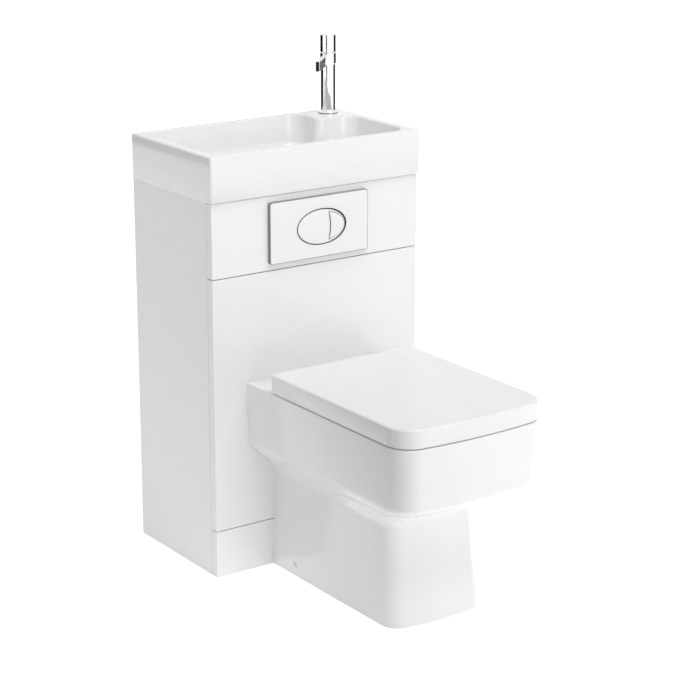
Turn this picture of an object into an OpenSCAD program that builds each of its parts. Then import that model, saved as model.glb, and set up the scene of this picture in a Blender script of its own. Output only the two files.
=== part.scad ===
// Toilet and basin combination unit: a narrow cabinet against the wall, a back-to-wall
// pan in front of it, a basin with a tap on top, and a dual-flush cistern inside.
// Front faces -Y, X runs to the right seen from the front, Z is up, all in millimetres.

/* [Cabinet] */
// Width of the cabinet
unit_w = 500; // [490:5:540]
// Depth from the wall to the front face of the panels
unit_d = 303; // [298:1:320]
// Height of the cabinet under the basin
unit_h = 783; // [776:1:792]
// Thickness of the side boards and rails
board_t = 18; // [16:1:18]
// Thickness of the front panels
front_t = 19; // [17:1:19]
// Shadow gap between neighbouring panels
gap_w = 2; // [1:0.5:3]
// Height of the plinth panel
plinth_h = 99; // [95:1:102]
// Height of the fascia panel that carries the flush plate
fascia_h = 151; // [146:1:154]

/* [Basin] */
// Height of the basin
basin_h = 92; // [86:2:100]
// Overhang of the basin past each cabinet side
basin_over = 3; // [0:1:8]
// Overhang of the basin past the front panels
basin_lip = 5; // [2:1:10]
// Width of the rim at the front and the right
rim_w = 20; // [16:1:24]
// Width of the rim at the left
rim_left = 24; // [18:1:28]
// Width of the rim at the back
rim_back = 16; // [14:1:20]
// Depth of the bowl below the rim
bowl_depth = 74; // [60:1:74]
// Width of the tap ledge, measured from the right inner edge of the rim
tap_ledge_w = 87; // [80:1:92]
// Depth of the tap ledge, measured from the back inner edge of the rim
tap_ledge_d = 78; // [72:1:82]
// Corner radius of the bowl seen from above
bowl_corner_r = 34; // [28:1:38]

/* [Pan] */
// Width of the pan at its rim
pan_w = 347; // [340:1:360]
// Height of the pan's rim above the floor
pan_h = 406; // [400:1:412]
// Reach of the pan in front of the cabinet
pan_reach = 533; // [510:1:545]
// Corner radius of the pan and lid seen from above
pan_corner_r = 52; // [44:2:60]
// How far the front edge bows out between its corners
pan_bow = 7; // [3:1:12]
// Width of the pedestal at the floor
foot_w = 228; // [224:1:236]
// Reach of the pedestal at the floor
foot_reach = 427; // [415:1:435]
// Width of the pedestal at its neck
neck_w = 217; // [212:1:224]
// Reach of the pedestal at its neck
neck_reach = 402; // [392:1:410]
// Height of the neck, where the underside starts to flare
neck_z = 201; // [194:1:206]
// Height at which the flare meets the straight rim band
belly_z = 288; // [280:1:296]
// Wall thickness of the ceramic
china_t = 12; // [10:1:13]
// Depth of the flat ledge between the cabinet and the lid
lid_setback = 87; // [86:1:92]

/* [Seat and lid] */
// Height of the lid over its lower edge
lid_h = 38; // [36:0.5:40]
// Seam between pan and lid
lid_seam = 2.5; // [2:0.5:3]
// Wall thickness of the lid's skirt
lid_t = 4; // [3:0.5:4]
// Thickness of the seat ring
seat_t = 16; // [14:1:17]

/* [Tap] */
// Height of the tap column up to the spout ring
tap_column_h = 106; // [95:1:120]
// Radius of the tap column
tap_column_r = 15.5; // [14.5:0.5:17]
// Height of the spout ring
spout_ring_h = 23.5; // [22:0.5:28]
// Distance from the tap axis to the flat end of the spout
spout_reach = 121; // [100:1:125]
// Angle of the spout from the forward direction towards the left
spout_turn = 45; // [35:1:50]
// Height of the handle cap
handle_h = 38; // [32:1:44]

/* [Flush] */
// Width of the flush plate
plate_w = 238; // [230:2:246]
// Height of the flush plate
plate_h = 126; // [122:2:130]
// How far the flush plate stands off the fascia
plate_t = 9; // [8:0.5:11]
// Width of the oval that the two buttons fill
oval_w = 118; // [114:1:124]
// Height of the oval
oval_h = 74; // [70:1:80]
// How far the half button's left edge stands right of the oval's centre
divider_x = 16; // [14:0.5:19]
// How far the buttons travel
button_travel = 5; // [4:0.5:5.5]

/* [Hidden] */
$fn = 48;

// small distance by which a cut passes through a face
eps = 1;
// radial clearance of a running fit, and of a loose hole
fit = 0.05;
loose = 0.3;

// place of the cabinet face, so that the whole unit is centred on the origin front to back
face_y = (pan_reach - unit_d) / 2;
half_w = unit_w / 2;
inner_w = half_w - board_t;
side_y = front_t + 1;
rail_y = side_y + board_t;
front_z = plinth_h + gap_w;
fascia_top = unit_h - gap_w;
fascia_z = fascia_top - fascia_h;
basin_z = unit_h + basin_h;
flush_z = (fascia_z + fascia_top) / 2;

// colours as the object shows them
white_board = [0.95, 0.95, 0.95];
raw_board = [0.80, 0.72, 0.60];
china = [0.97, 0.97, 0.97];
white_plastic = [0.93, 0.94, 0.94];
grey_plastic = [0.62, 0.64, 0.66];
chrome = [0.75, 0.77, 0.80];
steel = [0.66, 0.67, 0.69];
black_rubber = [0.12, 0.12, 0.12];
brass = [0.80, 0.68, 0.38];

// every part is drawn from the cabinet face and set in place here
module at_face() translate([0, face_y, 0]) children();

// cylinders along the three axes, named by where they start
module rod_x(x, y, z, r, len) translate([x, y, z]) rotate([0, 90, 0]) cylinder(r = r, h = len);
module rod_y(x, y, z, r, len) translate([x, y, z]) rotate([-90, 0, 0]) cylinder(r = r, h = len);
module rod_z(x, y, z, r, len) translate([x, y, z]) cylinder(r = r, h = len);
module block(x0, x1, y0, y1, z0, z1) translate([x0, y0, z0]) cube([x1 - x0, y1 - y0, z1 - z0]);
module both_sides() {
    children();
    mirror([1, 0, 0]) children();
}

// rounded rectangle about a centre, with true arcs in its corners
module soft_rect(w, h, r) {
    square([w - 2 * r, h], center = true);
    square([w, h - 2 * r], center = true);
    for (sx = [-1, 1], sy = [-1, 1]) translate([sx * (w / 2 - r), sy * (h / 2 - r)]) circle(r = r);
}

// a plate that stands upright, facing the front, with its back face at y1
module front_plate(x, z, w, h, r, y0, y1)
    translate([x, y1, z]) rotate([90, 0, 0]) linear_extrude(y1 - y0) soft_rect(w, h, r);

// points of an arc, the first and last included
function arc(cx, cy, r, a0, a1, n) =
    [for (i = [0:n]) let (a = a0 + (a1 - a0) * i / n) [cx + r * cos(a), cy + r * sin(a)]];

// an outline lifted to a height
function at_height(outline, z) = [for (p = outline) [p[0], p[1], z]];

function backwards(list) = [for (i = [len(list) - 1:-1:0]) list[i]];

function middle(points) = [for (k = [0:2]) sum_of([for (p = points) p[k]]) / len(points)];
function sum_of(list) = list * [for (v = list) 1];

// surface through a stack of rings that all have the same number of points, closed at both ends
// by a fan about the ring's middle, the rings listed upwards or downwards
module loft(stack) {
    rings = stack[0][0][2] < stack[len(stack) - 1][0][2] ? stack : backwards(stack);
    n = len(rings[0]);
    m = len(rings);
    points = concat([for (ring = rings) for (p = ring) p], [middle(rings[0]), middle(rings[m - 1])]);
    faces = [for (i = [0:n - 1]) let (j = (i + 1) % n) for (t = concat(
        [[i, j, m * n], [(m - 1) * n + j, (m - 1) * n + i, m * n + 1]],
        [for (k = [0:m - 2]) for (t = [[k * n + i, (k + 1) * n + i, (k + 1) * n + j],
            [k * n + i, (k + 1) * n + j, k * n + j]]) t])) t];
    polyhedron(points = points, faces = faces);
}

// Cabinet

clip_r = 4;
clip_in = 10;
clip_side_x = half_w - board_t / 2;
clip_x = 180;
middle_rail_z = fascia_z - gap_w / 2;
lower_rail_z = front_z - gap_w / 2;
// fixing clips: fascia at its top and bottom, front panel all round, plinth at its top and bottom
clip_spots = [
    for (sx = [-1, 1]) for (p = [
        [clip_x, unit_h - board_t / 2], [clip_x, middle_rail_z + 12], [clip_x, middle_rail_z - 12],
        [clip_side_x, (front_z + fascia_z) / 2], [clip_x, lower_rail_z + 12],
        [clip_x, lower_rail_z - 12], [clip_side_x, 30]]) [sx * p[0], p[1]]];

module clip_bores()
    for (p = clip_spots) rod_y(p[0], front_t - clip_in, p[1], clip_r + fit, 2 * clip_in + 2);

module panel_clips() color(white_plastic) at_face()
    for (p = clip_spots) {
        rod_y(p[0], front_t - clip_in + 0.5, p[1], clip_r, 2 * clip_in);
        rod_y(p[0], front_t, p[1], 1.6 * clip_r, side_y - front_t);
    }

// wall fixing holes and soil pipe
wall_hole_r = 4;
wall_hole_x = 150;
wall_hole_z = unit_h - 41;
soil_z = 185;
inlet_z = pan_h - 71;
soil_hole_r = 60;
inlet_hole_r = 38;

module side_panel() difference() {
    block(-half_w, -inner_w, side_y, unit_d, 0, unit_h);
    clip_bores();
    // screw holes of the brackets that hold the cabinet to the wall
    for (z = bracket_screw_z) rod_x(-inner_w - 10, bracket_screw_y, z, 2, 12);
}
module side_panel_left() color(white_board) at_face() side_panel();
module side_panel_right() color(white_board) at_face() mirror([1, 0, 0]) side_panel();

edge_r = 1.5;
// a front panel between two heights, its long front edges eased
module panel_slab(z0, z1) translate([0, front_t / 2, z0]) linear_extrude(z1 - z0) union() {
    translate([0, 1]) square([unit_w, front_t - 2], center = true);
    soft_rect(unit_w, front_t, edge_r);
}

window_w = 204;
window_h = 96;
window_r = 8;
module fascia_panel() color(white_board) at_face() difference() {
    panel_slab(fascia_z, fascia_top);
    front_plate(0, flush_z, window_w, window_h, window_r, -eps, front_t + eps);
    clip_bores();
}
module front_panel() color(white_board) at_face() difference() {
    panel_slab(front_z, fascia_z - gap_w);
    rod_y(0, -eps, soil_z, soil_hole_r, front_t + 2 * eps);
    rod_y(0, -eps, inlet_z, inlet_hole_r, front_t + 2 * eps);
    clip_bores();
}
module plinth_panel() color(white_board) at_face() difference() {
    panel_slab(0, plinth_h);
    clip_bores();
}

rail_d = 80;
module top_rail_front() color(white_board) at_face() difference() {
    block(-inner_w, inner_w, side_y, side_y + rail_d, unit_h - board_t, unit_h);
    clip_bores();
}
hose_notch_d = 28;
module top_rail_back() color(white_board) at_face() difference() {
    block(-inner_w, inner_w, unit_d - 40, unit_d, unit_h - board_t, unit_h);
    block(tap_x - 25, inner_w + eps, unit_d - 40 - eps, unit_d - 40 + hose_notch_d,
        unit_h - board_t - eps, unit_h + eps);
}
back_rail_h = 65;
module back_rail_upper() color(white_board) at_face() difference() {
    block(-inner_w, inner_w, unit_d - board_t, unit_d, unit_h - board_t - back_rail_h, unit_h - board_t);
    for (sx = [-1, 1])
        rod_y(sx * wall_hole_x, unit_d - board_t - eps, wall_hole_z - 10, wall_hole_r, board_t + 2 * eps);
}
module front_rail(z) difference() {
    block(-inner_w, inner_w, side_y, rail_y, z - 24, z + 24);
    clip_bores();
}
module front_rail_middle() color(raw_board) at_face() front_rail(middle_rail_z);
module front_rail_lower() color(raw_board) at_face() front_rail(lower_rail_z);

// Cistern sizes that the shelf and the flush frame need

tank_y0 = 47;
tank_y1 = 170;
tank_z1 = flush_z + 44.5;
tank_z0 = tank_z1 - 298;
tank_half = 170;
tank_wall = 3;
valve_y = 115;
inlet_x = -130;
backnut_r = 38;
// relief between the end of a pipe's or thread's full size and the nut beside it
end_relief = 0.5;
// threaded tail of the flush valve
valve_tail_r = 30;
// how far the cover of the tank stands over its edge
cover_over = 1.5;
// shank of the inlet valve, and the foot of the nut that holds it
shank_r = 7.5;
inlet_nut_z = tank_z0 - 15;

shelf_y1 = 182;
module cistern_shelf() color(raw_board) at_face() difference() {
    block(-inner_w, inner_w, rail_y + 1, shelf_y1, tank_z0 - board_t, tank_z0);
    rod_z(0, valve_y, tank_z0 - board_t - eps, backnut_r + 4, board_t + 2 * eps);
    rod_z(inlet_x, valve_y, tank_z0 - board_t - eps, 20, board_t + 2 * eps);
}

// joining blocks in the inner corners, under the rails and the shelf and against the upright
// rails: middle front to back, top, depth
block_s = 24;
thin_block = 12;
block_spots = [
    [side_y + 24, unit_h - board_t, block_s], [side_y + 64, unit_h - board_t, block_s],
    [unit_d - board_t - thin_block / 2, unit_h - 30, thin_block],
    [62, tank_z0 - board_t, block_s], [150, tank_z0 - board_t, block_s],
    [rail_y + block_s / 2, middle_rail_z + 12, block_s], [rail_y + block_s / 2, lower_rail_z + 12, block_s]];
module corner_blocks() color(white_plastic) at_face() both_sides()
    for (p = block_spots) difference() {
        block(-inner_w, -inner_w + block_s, p[0] - p[2] / 2, p[0] + p[2] / 2, p[1] - block_s, p[1]);
        rod_x(-inner_w - eps, p[0], p[1] - block_s / 2, 2.5, block_s + 2 * eps);
    }

bracket_z = unit_h - 193;
bracket_h = 50;
bracket_leg = 42;
bracket_t = 2;
bracket_screw_y = unit_d - 26;
bracket_screw_z = [bracket_z + 12, bracket_z + bracket_h - 12];
module wall_brackets() color(steel) at_face() both_sides() difference() {
    union() {
        block(-inner_w, -inner_w + bracket_t, unit_d - bracket_leg, unit_d, bracket_z, bracket_z + bracket_h);
        block(-inner_w, -inner_w + bracket_leg, unit_d - bracket_t, unit_d, bracket_z, bracket_z + bracket_h);
    }
    for (z = bracket_screw_z) rod_x(-inner_w - eps, bracket_screw_y, z, 2.5, 4);
    rod_y(-inner_w + 26, unit_d - bracket_t - eps, bracket_z + bracket_h / 2, wall_hole_r, 4);
}

// Basin

basin_half = half_w + basin_over;
basin_front = -basin_lip;
floor_z = basin_z - bowl_depth;
waste_y = 218;
waste_r = 33;
waste_lip = 3;
tap_x = basin_half - rim_w - 24.5;
tap_y = unit_d - 40;
tap_hole_r = 17.5;

// outer outline of the basin, drawn in by an inset, with corner radius r
function basin_outline(inset, r) = let (w = basin_half - inset, y0 = basin_front + inset, y1 = unit_d - inset)
    concat(arc(-w + r, y0 + r, r, 180, 270, 4), arc(w - r, y0 + r, r, 270, 360, 4),
        arc(w - r, y1 - r, r, 0, 90, 4), arc(-w + r, y1 - r, r, 90, 180, 4));

// outline of the bowl, a rectangle that leaves the tap ledge in its rear right corner
function bowl_outline(inset, r) = let (
    x0 = -basin_half + rim_left + inset, x1 = basin_half - rim_w - inset,
    y0 = basin_front + rim_w + inset, y1 = unit_d - rim_back - inset,
    lx = basin_half - rim_w - tap_ledge_w - inset, ly = unit_d - rim_back - tap_ledge_d - inset,
    rc = 14 + inset / 2)
    concat(arc(x0 + r, y0 + r, r, 180, 270, 7), arc(x1 - r, y0 + r, r, 270, 360, 7),
        arc(x1 - r, ly - r, r, 0, 90, 7), arc(lx + rc, ly + rc, rc, 270, 180, 7),
        arc(lx - r, y1 - r, r, 0, 90, 7), arc(x0 + r, y1 - r, r, 90, 180, 7));

lip_r = 3;
wall_slope = 7;
cove_r = 26;
floor_fall = 5;
floor_front = basin_front + rim_w + wall_slope + cove_r;
floor_back = unit_d - rim_back - wall_slope - cove_r;
// an outline lifted to a height, and higher towards the front by the fall of the floor
function fallen(outline, z) = [for (p = outline) [p[0], p[1],
    z + floor_fall * max(0, min(1, (floor_back - p[1]) / (floor_back - floor_front)))]];
// the bowl from above the rim down: eased lip, sloping wall, coved foot, floor that falls to the back
bowl_rings = concat(
    [at_height(bowl_outline(-lip_r, bowl_corner_r), basin_z + eps)],
    [for (a = [0:30:90]) at_height(bowl_outline(-lip_r * (1 - sin(a)), bowl_corner_r),
        basin_z - lip_r * (1 - cos(a)))],
    [for (a = [0:15:90]) fallen(bowl_outline(wall_slope + cove_r * (1 - cos(a)), bowl_corner_r + 2),
        floor_z + cove_r * (1 - sin(a)))]);

basin_top_r = 3;
ledge_t = 14;
module basin() color(china) at_face() difference() {
    loft(concat([at_height(basin_outline(0, 5), unit_h)],
        [for (a = [0:22.5:90]) at_height(basin_outline(basin_top_r * (1 - cos(a)), 5),
            basin_z - basin_top_r * (1 - sin(a)))]));
    loft(bowl_rings);
    // seat and bore of the waste
    rod_z(0, waste_y, floor_z - waste_lip, waste_r + 1, 12);
    rod_z(0, waste_y, unit_h - eps, tail_r + 2, basin_h);
    // hollow under the tap ledge
    block(tap_x - 30, basin_half - 12, tap_y - 28, unit_d - 10, unit_h - eps, basin_z - ledge_t);
    rod_z(tap_x, tap_y, basin_z - 20, tap_hole_r, 30);
}

// Waste and trap of the basin

tail_r = 20;
module waste_body() color(chrome) at_face() difference() {
    union() {
        rod_z(0, waste_y, floor_z - waste_lip, waste_r, waste_lip);
        rod_z(0, waste_y, unit_h - 55, tail_r, floor_z - waste_lip + eps - unit_h + 55);
    }
    difference() {
        rod_z(0, waste_y, unit_h - 60, tail_r - 2.5, 90);
        // spider that guides the stem of the plug
        difference() {
            union() {
                block(-tail_r, tail_r, waste_y - 1.5, waste_y + 1.5, unit_h - 12, unit_h);
                block(-1.5, 1.5, waste_y - tail_r, waste_y + tail_r, unit_h - 12, unit_h);
                rod_z(0, waste_y, unit_h - 12, 7, 12);
            }
            rod_z(0, waste_y, unit_h - 20, plug_stem_r + fit, 40);
        }
    }
}
plug_r = 30;
plug_stem_r = 4;
module waste_plug() color(chrome) at_face() {
    rod_z(0, waste_y, floor_z + loose, plug_r, 2);
    translate([0, waste_y, floor_z + loose + 2]) cylinder(r1 = plug_r, r2 = plug_r - 5, h = 2);
    rod_z(0, waste_y, unit_h - 25, plug_stem_r, floor_z + eps - unit_h + 25);
    rod_z(0, waste_y, floor_z - 6, 8, 7);
}
module waste_backnut() color(white_plastic) at_face() difference() {
    union() {
        rod_z(0, waste_y, unit_h - 4, 32, 4);
        translate([0, waste_y, unit_h - 16]) cylinder(r = 29, h = 13, $fn = 8);
    }
    rod_z(0, waste_y, unit_h - 20, tail_r + fit, 30);
}

trap_top = unit_h - 45;
trap_foot = trap_top - 110;
trap_out_z = trap_foot + 27;
// waste pipe to the wall, its thinner end in the nut of the trap, and where that nut ends
waste_pipe_r = 16;
waste_end_r = waste_pipe_r - 0.4;
waste_nut_y = waste_y + 54;
// neck that stands in the cup, bore of both, and bore of the dip tube
cup_neck_r = 30;
cup_bore_r = 27;
dip_r = 16.5;
module trap_body() color(white_plastic) at_face() difference() {
    union() {
        rod_z(0, waste_y, trap_foot + 60, 25, trap_top - trap_foot - 60);
        rod_z(0, waste_y, trap_top - 24, 29, 24);
        rod_z(0, waste_y, trap_foot, cup_neck_r, 68);
        rod_y(0, waste_y, trap_out_z, 20, waste_nut_y - waste_y);
        rod_y(0, waste_nut_y - 20, trap_out_z, 24, 20);
    }
    // inner chamber, opening for the tail, dip tube and side outlet
    difference() {
        rod_z(0, waste_y, trap_foot - 8, cup_bore_r, 72);
        difference() {
            rod_z(0, waste_y, trap_foot + 7, dip_r + 2.5, 60);
            rod_z(0, waste_y, trap_foot + 2, dip_r, 70);
        }
    }
    rod_z(0, waste_y, trap_foot + 52, dip_r, 50);
    rod_z(0, waste_y, trap_top - 20, tail_r + fit, 30);
    difference() {
        rod_y(0, waste_y, trap_out_z, waste_end_r + fit, 60);
        rod_z(0, waste_y, trap_foot - 8, 20, 100);
    }
}
cup_z = trap_foot - 28;
cup_h = 34;
module trap_cup() color(white_plastic) at_face() difference() {
    union() {
        rod_z(0, waste_y, cup_z, cup_neck_r + 3, cup_h);
        translate([0, waste_y, cup_z - 6]) cylinder(r1 = cup_bore_r, r2 = cup_neck_r + 3, h = 6);
    }
    rod_z(0, waste_y, trap_foot, cup_neck_r + fit, 20);
    rod_z(0, waste_y, cup_z - 1, cup_bore_r, 40);
}
module waste_pipe() color(white_plastic) at_face() difference() {
    union() {
        rod_y(0, waste_nut_y + end_relief, trap_out_z, waste_pipe_r, unit_d - waste_nut_y - end_relief);
        rod_y(0, waste_nut_y - 22, trap_out_z, waste_end_r, 24);
    }
    rod_y(0, waste_y, trap_out_z, waste_pipe_r - 2, unit_d);
}

// Tap

tap_z = basin_z;
ring_z = tap_z + tap_column_h;
handle_z = ring_z + spout_ring_h + 1;
ring_r = tap_column_r + 1.5;
handle_r = ring_r - 0.4;
cartridge_r = 9;
flange_r = tap_column_r + 6;
module tap_body() color(chrome) at_face() difference() {
    union() {
        rod_z(tap_x, tap_y, tap_z, flange_r, 4);
        translate([tap_x, tap_y, tap_z + 4]) cylinder(r1 = flange_r, r2 = flange_r - 1, h = 1);
        rod_z(tap_x, tap_y, tap_z, tap_column_r, tap_column_h);
        rod_z(tap_x, tap_y, ring_z - eps, cartridge_r, spout_ring_h + 24);
        // boss that centres the body in the tap hole
        rod_z(tap_x, tap_y, tap_z - 6, tap_hole_r - 1.5, 7);
    }
    // stud hole and the two hose threads
    rod_z(tap_x, tap_y, tap_z - 10, stud_r + fit, 20);
    for (s = [-1, 1]) rod_z(tap_x + s * hose_off, tap_y, tap_z - 10, hose_end_r + fit, 24);
}

spout_half = 4.5;
outlet_out = spout_reach - 10;
way_w = 3.6;
aerator_r = 3;
module tap_spout() color(chrome) at_face() translate([tap_x, tap_y, ring_z]) difference() {
    union() {
        cylinder(r = ring_r, h = spout_ring_h);
        // narrow upright bar with softened corners at its flat end
        rotate([0, 0, -spout_turn]) translate([0, -spout_reach / 2, 0.8])
            linear_extrude(spout_ring_h - 1.6) soft_rect(2 * spout_half, spout_reach, 1);
    }
    translate([0, 0, -eps]) cylinder(r = cartridge_r + fit, h = spout_ring_h + 2 * eps);
    // outlet bore from below and the water way that feeds it
    rotate([0, 0, -spout_turn]) {
        translate([0, -outlet_out, -eps]) cylinder(r = aerator_r + fit, h = 12);
        translate([-way_w / 2, -outlet_out, 7]) cube([way_w, outlet_out, 4]);
    }
}
module tap_aerator() color(steel) at_face() translate([tap_x, tap_y, ring_z])
    rotate([0, 0, -spout_turn]) translate([0, -outlet_out, -0.5]) difference() {
        cylinder(r = aerator_r, h = 6);
        for (a = [0:90:270]) rotate([0, 0, a]) translate([1.5, 0, -eps]) cylinder(r = 0.7, h = 7);
    }
module tap_handle() color(chrome) at_face() translate([tap_x, tap_y, handle_z]) difference() {
    union() {
        cylinder(r = handle_r, h = handle_h - 1.5);
        translate([0, 0, handle_h - 1.5]) cylinder(r1 = handle_r, r2 = handle_r - 1.2, h = 1.5);
    }
    translate([0, 0, -eps]) cylinder(r = cartridge_r + fit, h = 25);
}
stud_r = 4;
module tap_stud() color(brass) at_face() rod_z(tap_x, tap_y, tap_z - 62, stud_r, 70);
module tap_clamp_nut() color(brass) at_face() difference() {
    union() {
        // clamping plate under the ledge, open to one side for the hoses, and its nut
        difference() {
            rod_z(tap_x, tap_y, tap_z - ledge_t - 4, 22, 4);
            for (s = [-1, 1]) hull() {
                rod_z(tap_x + s * hose_off, tap_y, tap_z - 20, hose_r + 1, 8);
                rod_z(tap_x + s * hose_off, tap_y - 30, tap_z - 20, hose_r + 1, 8);
            }
        }
        translate([tap_x, tap_y, tap_z - ledge_t - 12]) cylinder(r = 7, h = 9, $fn = 6);
    }
    rod_z(tap_x, tap_y, tap_z - 30, stud_r + fit, 20);
}
hose_r = 4;
hose_end_r = 3.5;
hose_off = 11.5;
hose_z = tap_z - 315;
// braided tail of the tap with its upper thread and the coupling nut at its lower end
module tap_hose(s) at_face() difference() {
    union() {
        rod_z(tap_x + s * hose_off, tap_y, tap_z - 10, hose_end_r, 20);
        rod_z(tap_x + s * hose_off, tap_y, hose_z + 10, hose_r, tap_z - hose_z - 20);
        rod_z(tap_x + s * hose_off, tap_y, hose_z, 9.5, 16);
    }
    rod_z(tap_x + s * hose_off, tap_y, hose_z - eps, 2.5, 20);
}
module hot_hose() color(steel) tap_hose(-1);
module cold_hose() color(steel) tap_hose(1);

// Flush plate and buttons

plate_front = -plate_t;
skin = 3;
stem_r = 4;
full_x = -5;
half_x = 38;
lever_arm = 25;
lever_y = 68;
lever_z = flush_z + lever_arm;
pad_r = 3;
// gap between the edge of the oval and the buttons
oval_gap = 0.8;

// sleeve through the fascia with a front flange and a plate that guides the two stems
guide_y = 22;
guide_t = 4;
frame_wall = 3;
frame_lip = 2;
frame_end = tank_y0 - cover_over - loose;
// the window's outline drawn in on all sides, as a plate between two depths
module window_plate(inset, y0, y1)
    front_plate(0, flush_z, window_w - 2 * inset, window_h - 2 * inset, window_r - inset, y0, y1);
module flush_frame() color(white_plastic) at_face() difference() {
    union() {
        front_plate(0, flush_z, window_w + 12, window_h + 10, 6, -frame_lip, 0);
        window_plate(loose, -1, frame_end);
    }
    window_plate(frame_wall, -frame_lip - eps, guide_y);
    window_plate(frame_wall, guide_y + guide_t, frame_end + eps);
    for (x = [full_x, half_x]) rod_y(x, guide_y - eps, flush_z, stem_r + fit, guide_t + 2 * eps);
    // two openings through which the cistern is reached
    for (sx = [-1, 1]) front_plate(sx * 65, flush_z, 34, 60, 5, guide_y - eps, guide_y + guide_t + eps);
}

// ellipse of the oval, and the left edge of the half button, which bulges to the right at mid height
oval_x = 3.5;
half_inset = 7;
function oval_points(w, h) = [for (a = [0:6:354]) [w / 2 * cos(a), h / 2 * sin(a)]];
divider_bow = 5;
function divider(z) = divider_x + divider_bow * cos(90 * min(1, abs(z) / (oval_h / 2)));
divider_points = [for (i = [-10:10]) let (z = i * 4.5) [divider(z), z]];
far = 100;

module flush_plate() color(white_plastic) at_face() difference() {
    union() {
        front_plate(0, flush_z, plate_w, plate_h, 5, plate_front + 2, 0);
        front_plate(0, flush_z, plate_w - 2, plate_h - 2, 4, plate_front + 0.7, 0);
        front_plate(0, flush_z, plate_w - 4, plate_h - 4, 3, plate_front, 0);
    }
    // shell behind, apart from four posts that stand on the frame
    difference() {
        front_plate(0, flush_z, plate_w - 8, plate_h - 8, 3, plate_front + skin, eps);
        for (sx = [-1, 1], sz = [-1, 1]) rod_y(sx * 103, plate_front + skin - eps,
            flush_z + sz * 49, 4, plate_t - skin - frame_lip + eps);
    }
    oval_slab(plate_front - 1, 1) polygon(oval_points(oval_w, oval_h));
}
// an outline about the oval's centre, as a slab between two depths
module oval_slab(y0, y1)
    translate([oval_x, y1, flush_z]) rotate([90, 0, 0]) linear_extrude(y1 - y0) children();

button_front = plate_front - 1.5;
button_back = plate_front + skin + 2;
// outline of the half button: an inner oval to the right of its left edge, grown on all sides
module half_outline(grow) intersection() {
    polygon(oval_points(oval_w - 2 * half_inset + 2 * grow, oval_h - 2 * half_inset + 2 * grow));
    translate([-grow, 0]) polygon(concat(divider_points, [[far, 45], [far, -45]]));
}
collar_t = 3;
// stem that pushes the lever, with a collar that stops it against the guide
module button_stem(x) {
    rod_y(x, button_front + skin, flush_z, stem_r, lever_y - pad_r - loose - button_front - skin);
    rod_y(x, guide_y - button_travel - loose - collar_t, flush_z, stem_r + 2.5, collar_t);
}
module full_flush_button() color(white_plastic) at_face() {
    difference() {
        union() {
            oval_slab(button_front + 0.8, button_front + 4)
                polygon(oval_points(oval_w - 2 * oval_gap, oval_h - 2 * oval_gap));
            oval_slab(button_front, button_front + 4)
                polygon(oval_points(oval_w - 2 * oval_gap - 2, oval_h - 2 * oval_gap - 2));
            // lip behind the plate
            oval_slab(plate_front + skin + loose, button_back) polygon(oval_points(oval_w + 4, oval_h + 4));
        }
        oval_slab(button_front - eps, button_back + eps) half_outline(0.5);
    }
    button_stem(full_x);
}
module half_flush_button() color(white_plastic) at_face() {
    oval_slab(button_front + 0.8, button_back) half_outline(0);
    oval_slab(button_front, button_front + 1) half_outline(-1);
    button_stem(half_x);
}

// Cistern

tank_mid_y = (tank_y0 + tank_y1) / 2;
module tank_prism(inset, z0, z1) translate([0, tank_mid_y, z0]) linear_extrude(z1 - z0)
    soft_rect(2 * (tank_half - inset), tank_y1 - tank_y0 - 2 * inset, 12 - inset);

tank_window = 96;
module cistern_tank() color(white_plastic) at_face() difference() {
    union() {
        tank_prism(0, tank_z0, tank_z1);
        // ribs that stiffen the back wall
        for (sx = [-1, 1])
            block(sx * 80 - 4, sx * 80 + 4, tank_y1 - 1, tank_y1 + 4, tank_z0 + 20, tank_z0 + 108);
    }
    tank_prism(tank_wall, tank_z0 + tank_wall, tank_z1 + eps);
    // window for the hand and the stems, behind the flush plate
    block(-tank_window, tank_window, tank_y0 - eps, tank_y0 + tank_wall + eps, flush_z - 40, tank_z1 + eps);
    rod_z(0, valve_y, tank_z0 - eps, valve_tail_r + loose, 6);
    rod_z(inlet_x, valve_y, tank_z0 - eps, shank_r + loose, 6);
}

cover_t = 3;
ear_t = 3;
lever_half = 7;
lever_pin_r = 2;
// the ears stand 1 mm from each side of the two levers
ear_spots = [for (x = [full_x, half_x]) for (s = [-lever_half - 1 - ear_t, lever_half + 1]) x + s];
module cistern_lid() color(white_plastic) at_face() difference() {
    union() {
        tank_prism(-cover_over, tank_z1, tank_z1 + cover_t);
        tank_prism(tank_wall + 0.4, tank_z1 - cover_t, tank_z1 + eps);
        // ears that carry the lever pin
        for (x = ear_spots) block(x, x + ear_t, lever_y - 8, lever_y + 8, lever_z - 7, tank_z1);
    }
    rod_x(full_x - 20, lever_y, lever_z, lever_pin_r + fit, half_x - full_x + 40);
}
module lever_pin() color(steel) at_face()
    rod_x(full_x - 14, lever_y, lever_z, lever_pin_r, half_x - full_x + 28);

// bell crank: its lower arm is pushed back by a stem, its rear arm lifts a rod
lift_arm = 40;
module flush_lever(x) difference() {
    union() {
        rod_x(x - lever_half, lever_y, lever_z, 6, 2 * lever_half);
        block(x - 3, x + 3, lever_y - 2.5, lever_y + 2.5, lever_z - lever_arm, lever_z);
        rod_x(x - 5, lever_y, lever_z - lever_arm, pad_r, 10);
        block(x - 3, x + 3, lever_y, lever_y + lift_arm, lever_z - 2.5, lever_z + 2.5);
        rod_x(x - 5, lever_y + lift_arm, lever_z, pad_r, 10);
    }
    rod_x(x - 10, lever_y, lever_z, lever_pin_r + fit, 20);
}
module full_flush_lever() color(grey_plastic) at_face() flush_lever(full_x);
module half_flush_lever() color(grey_plastic) at_face() flush_lever(half_x);

// inlet valve with its float
column_r = 11;
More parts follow.
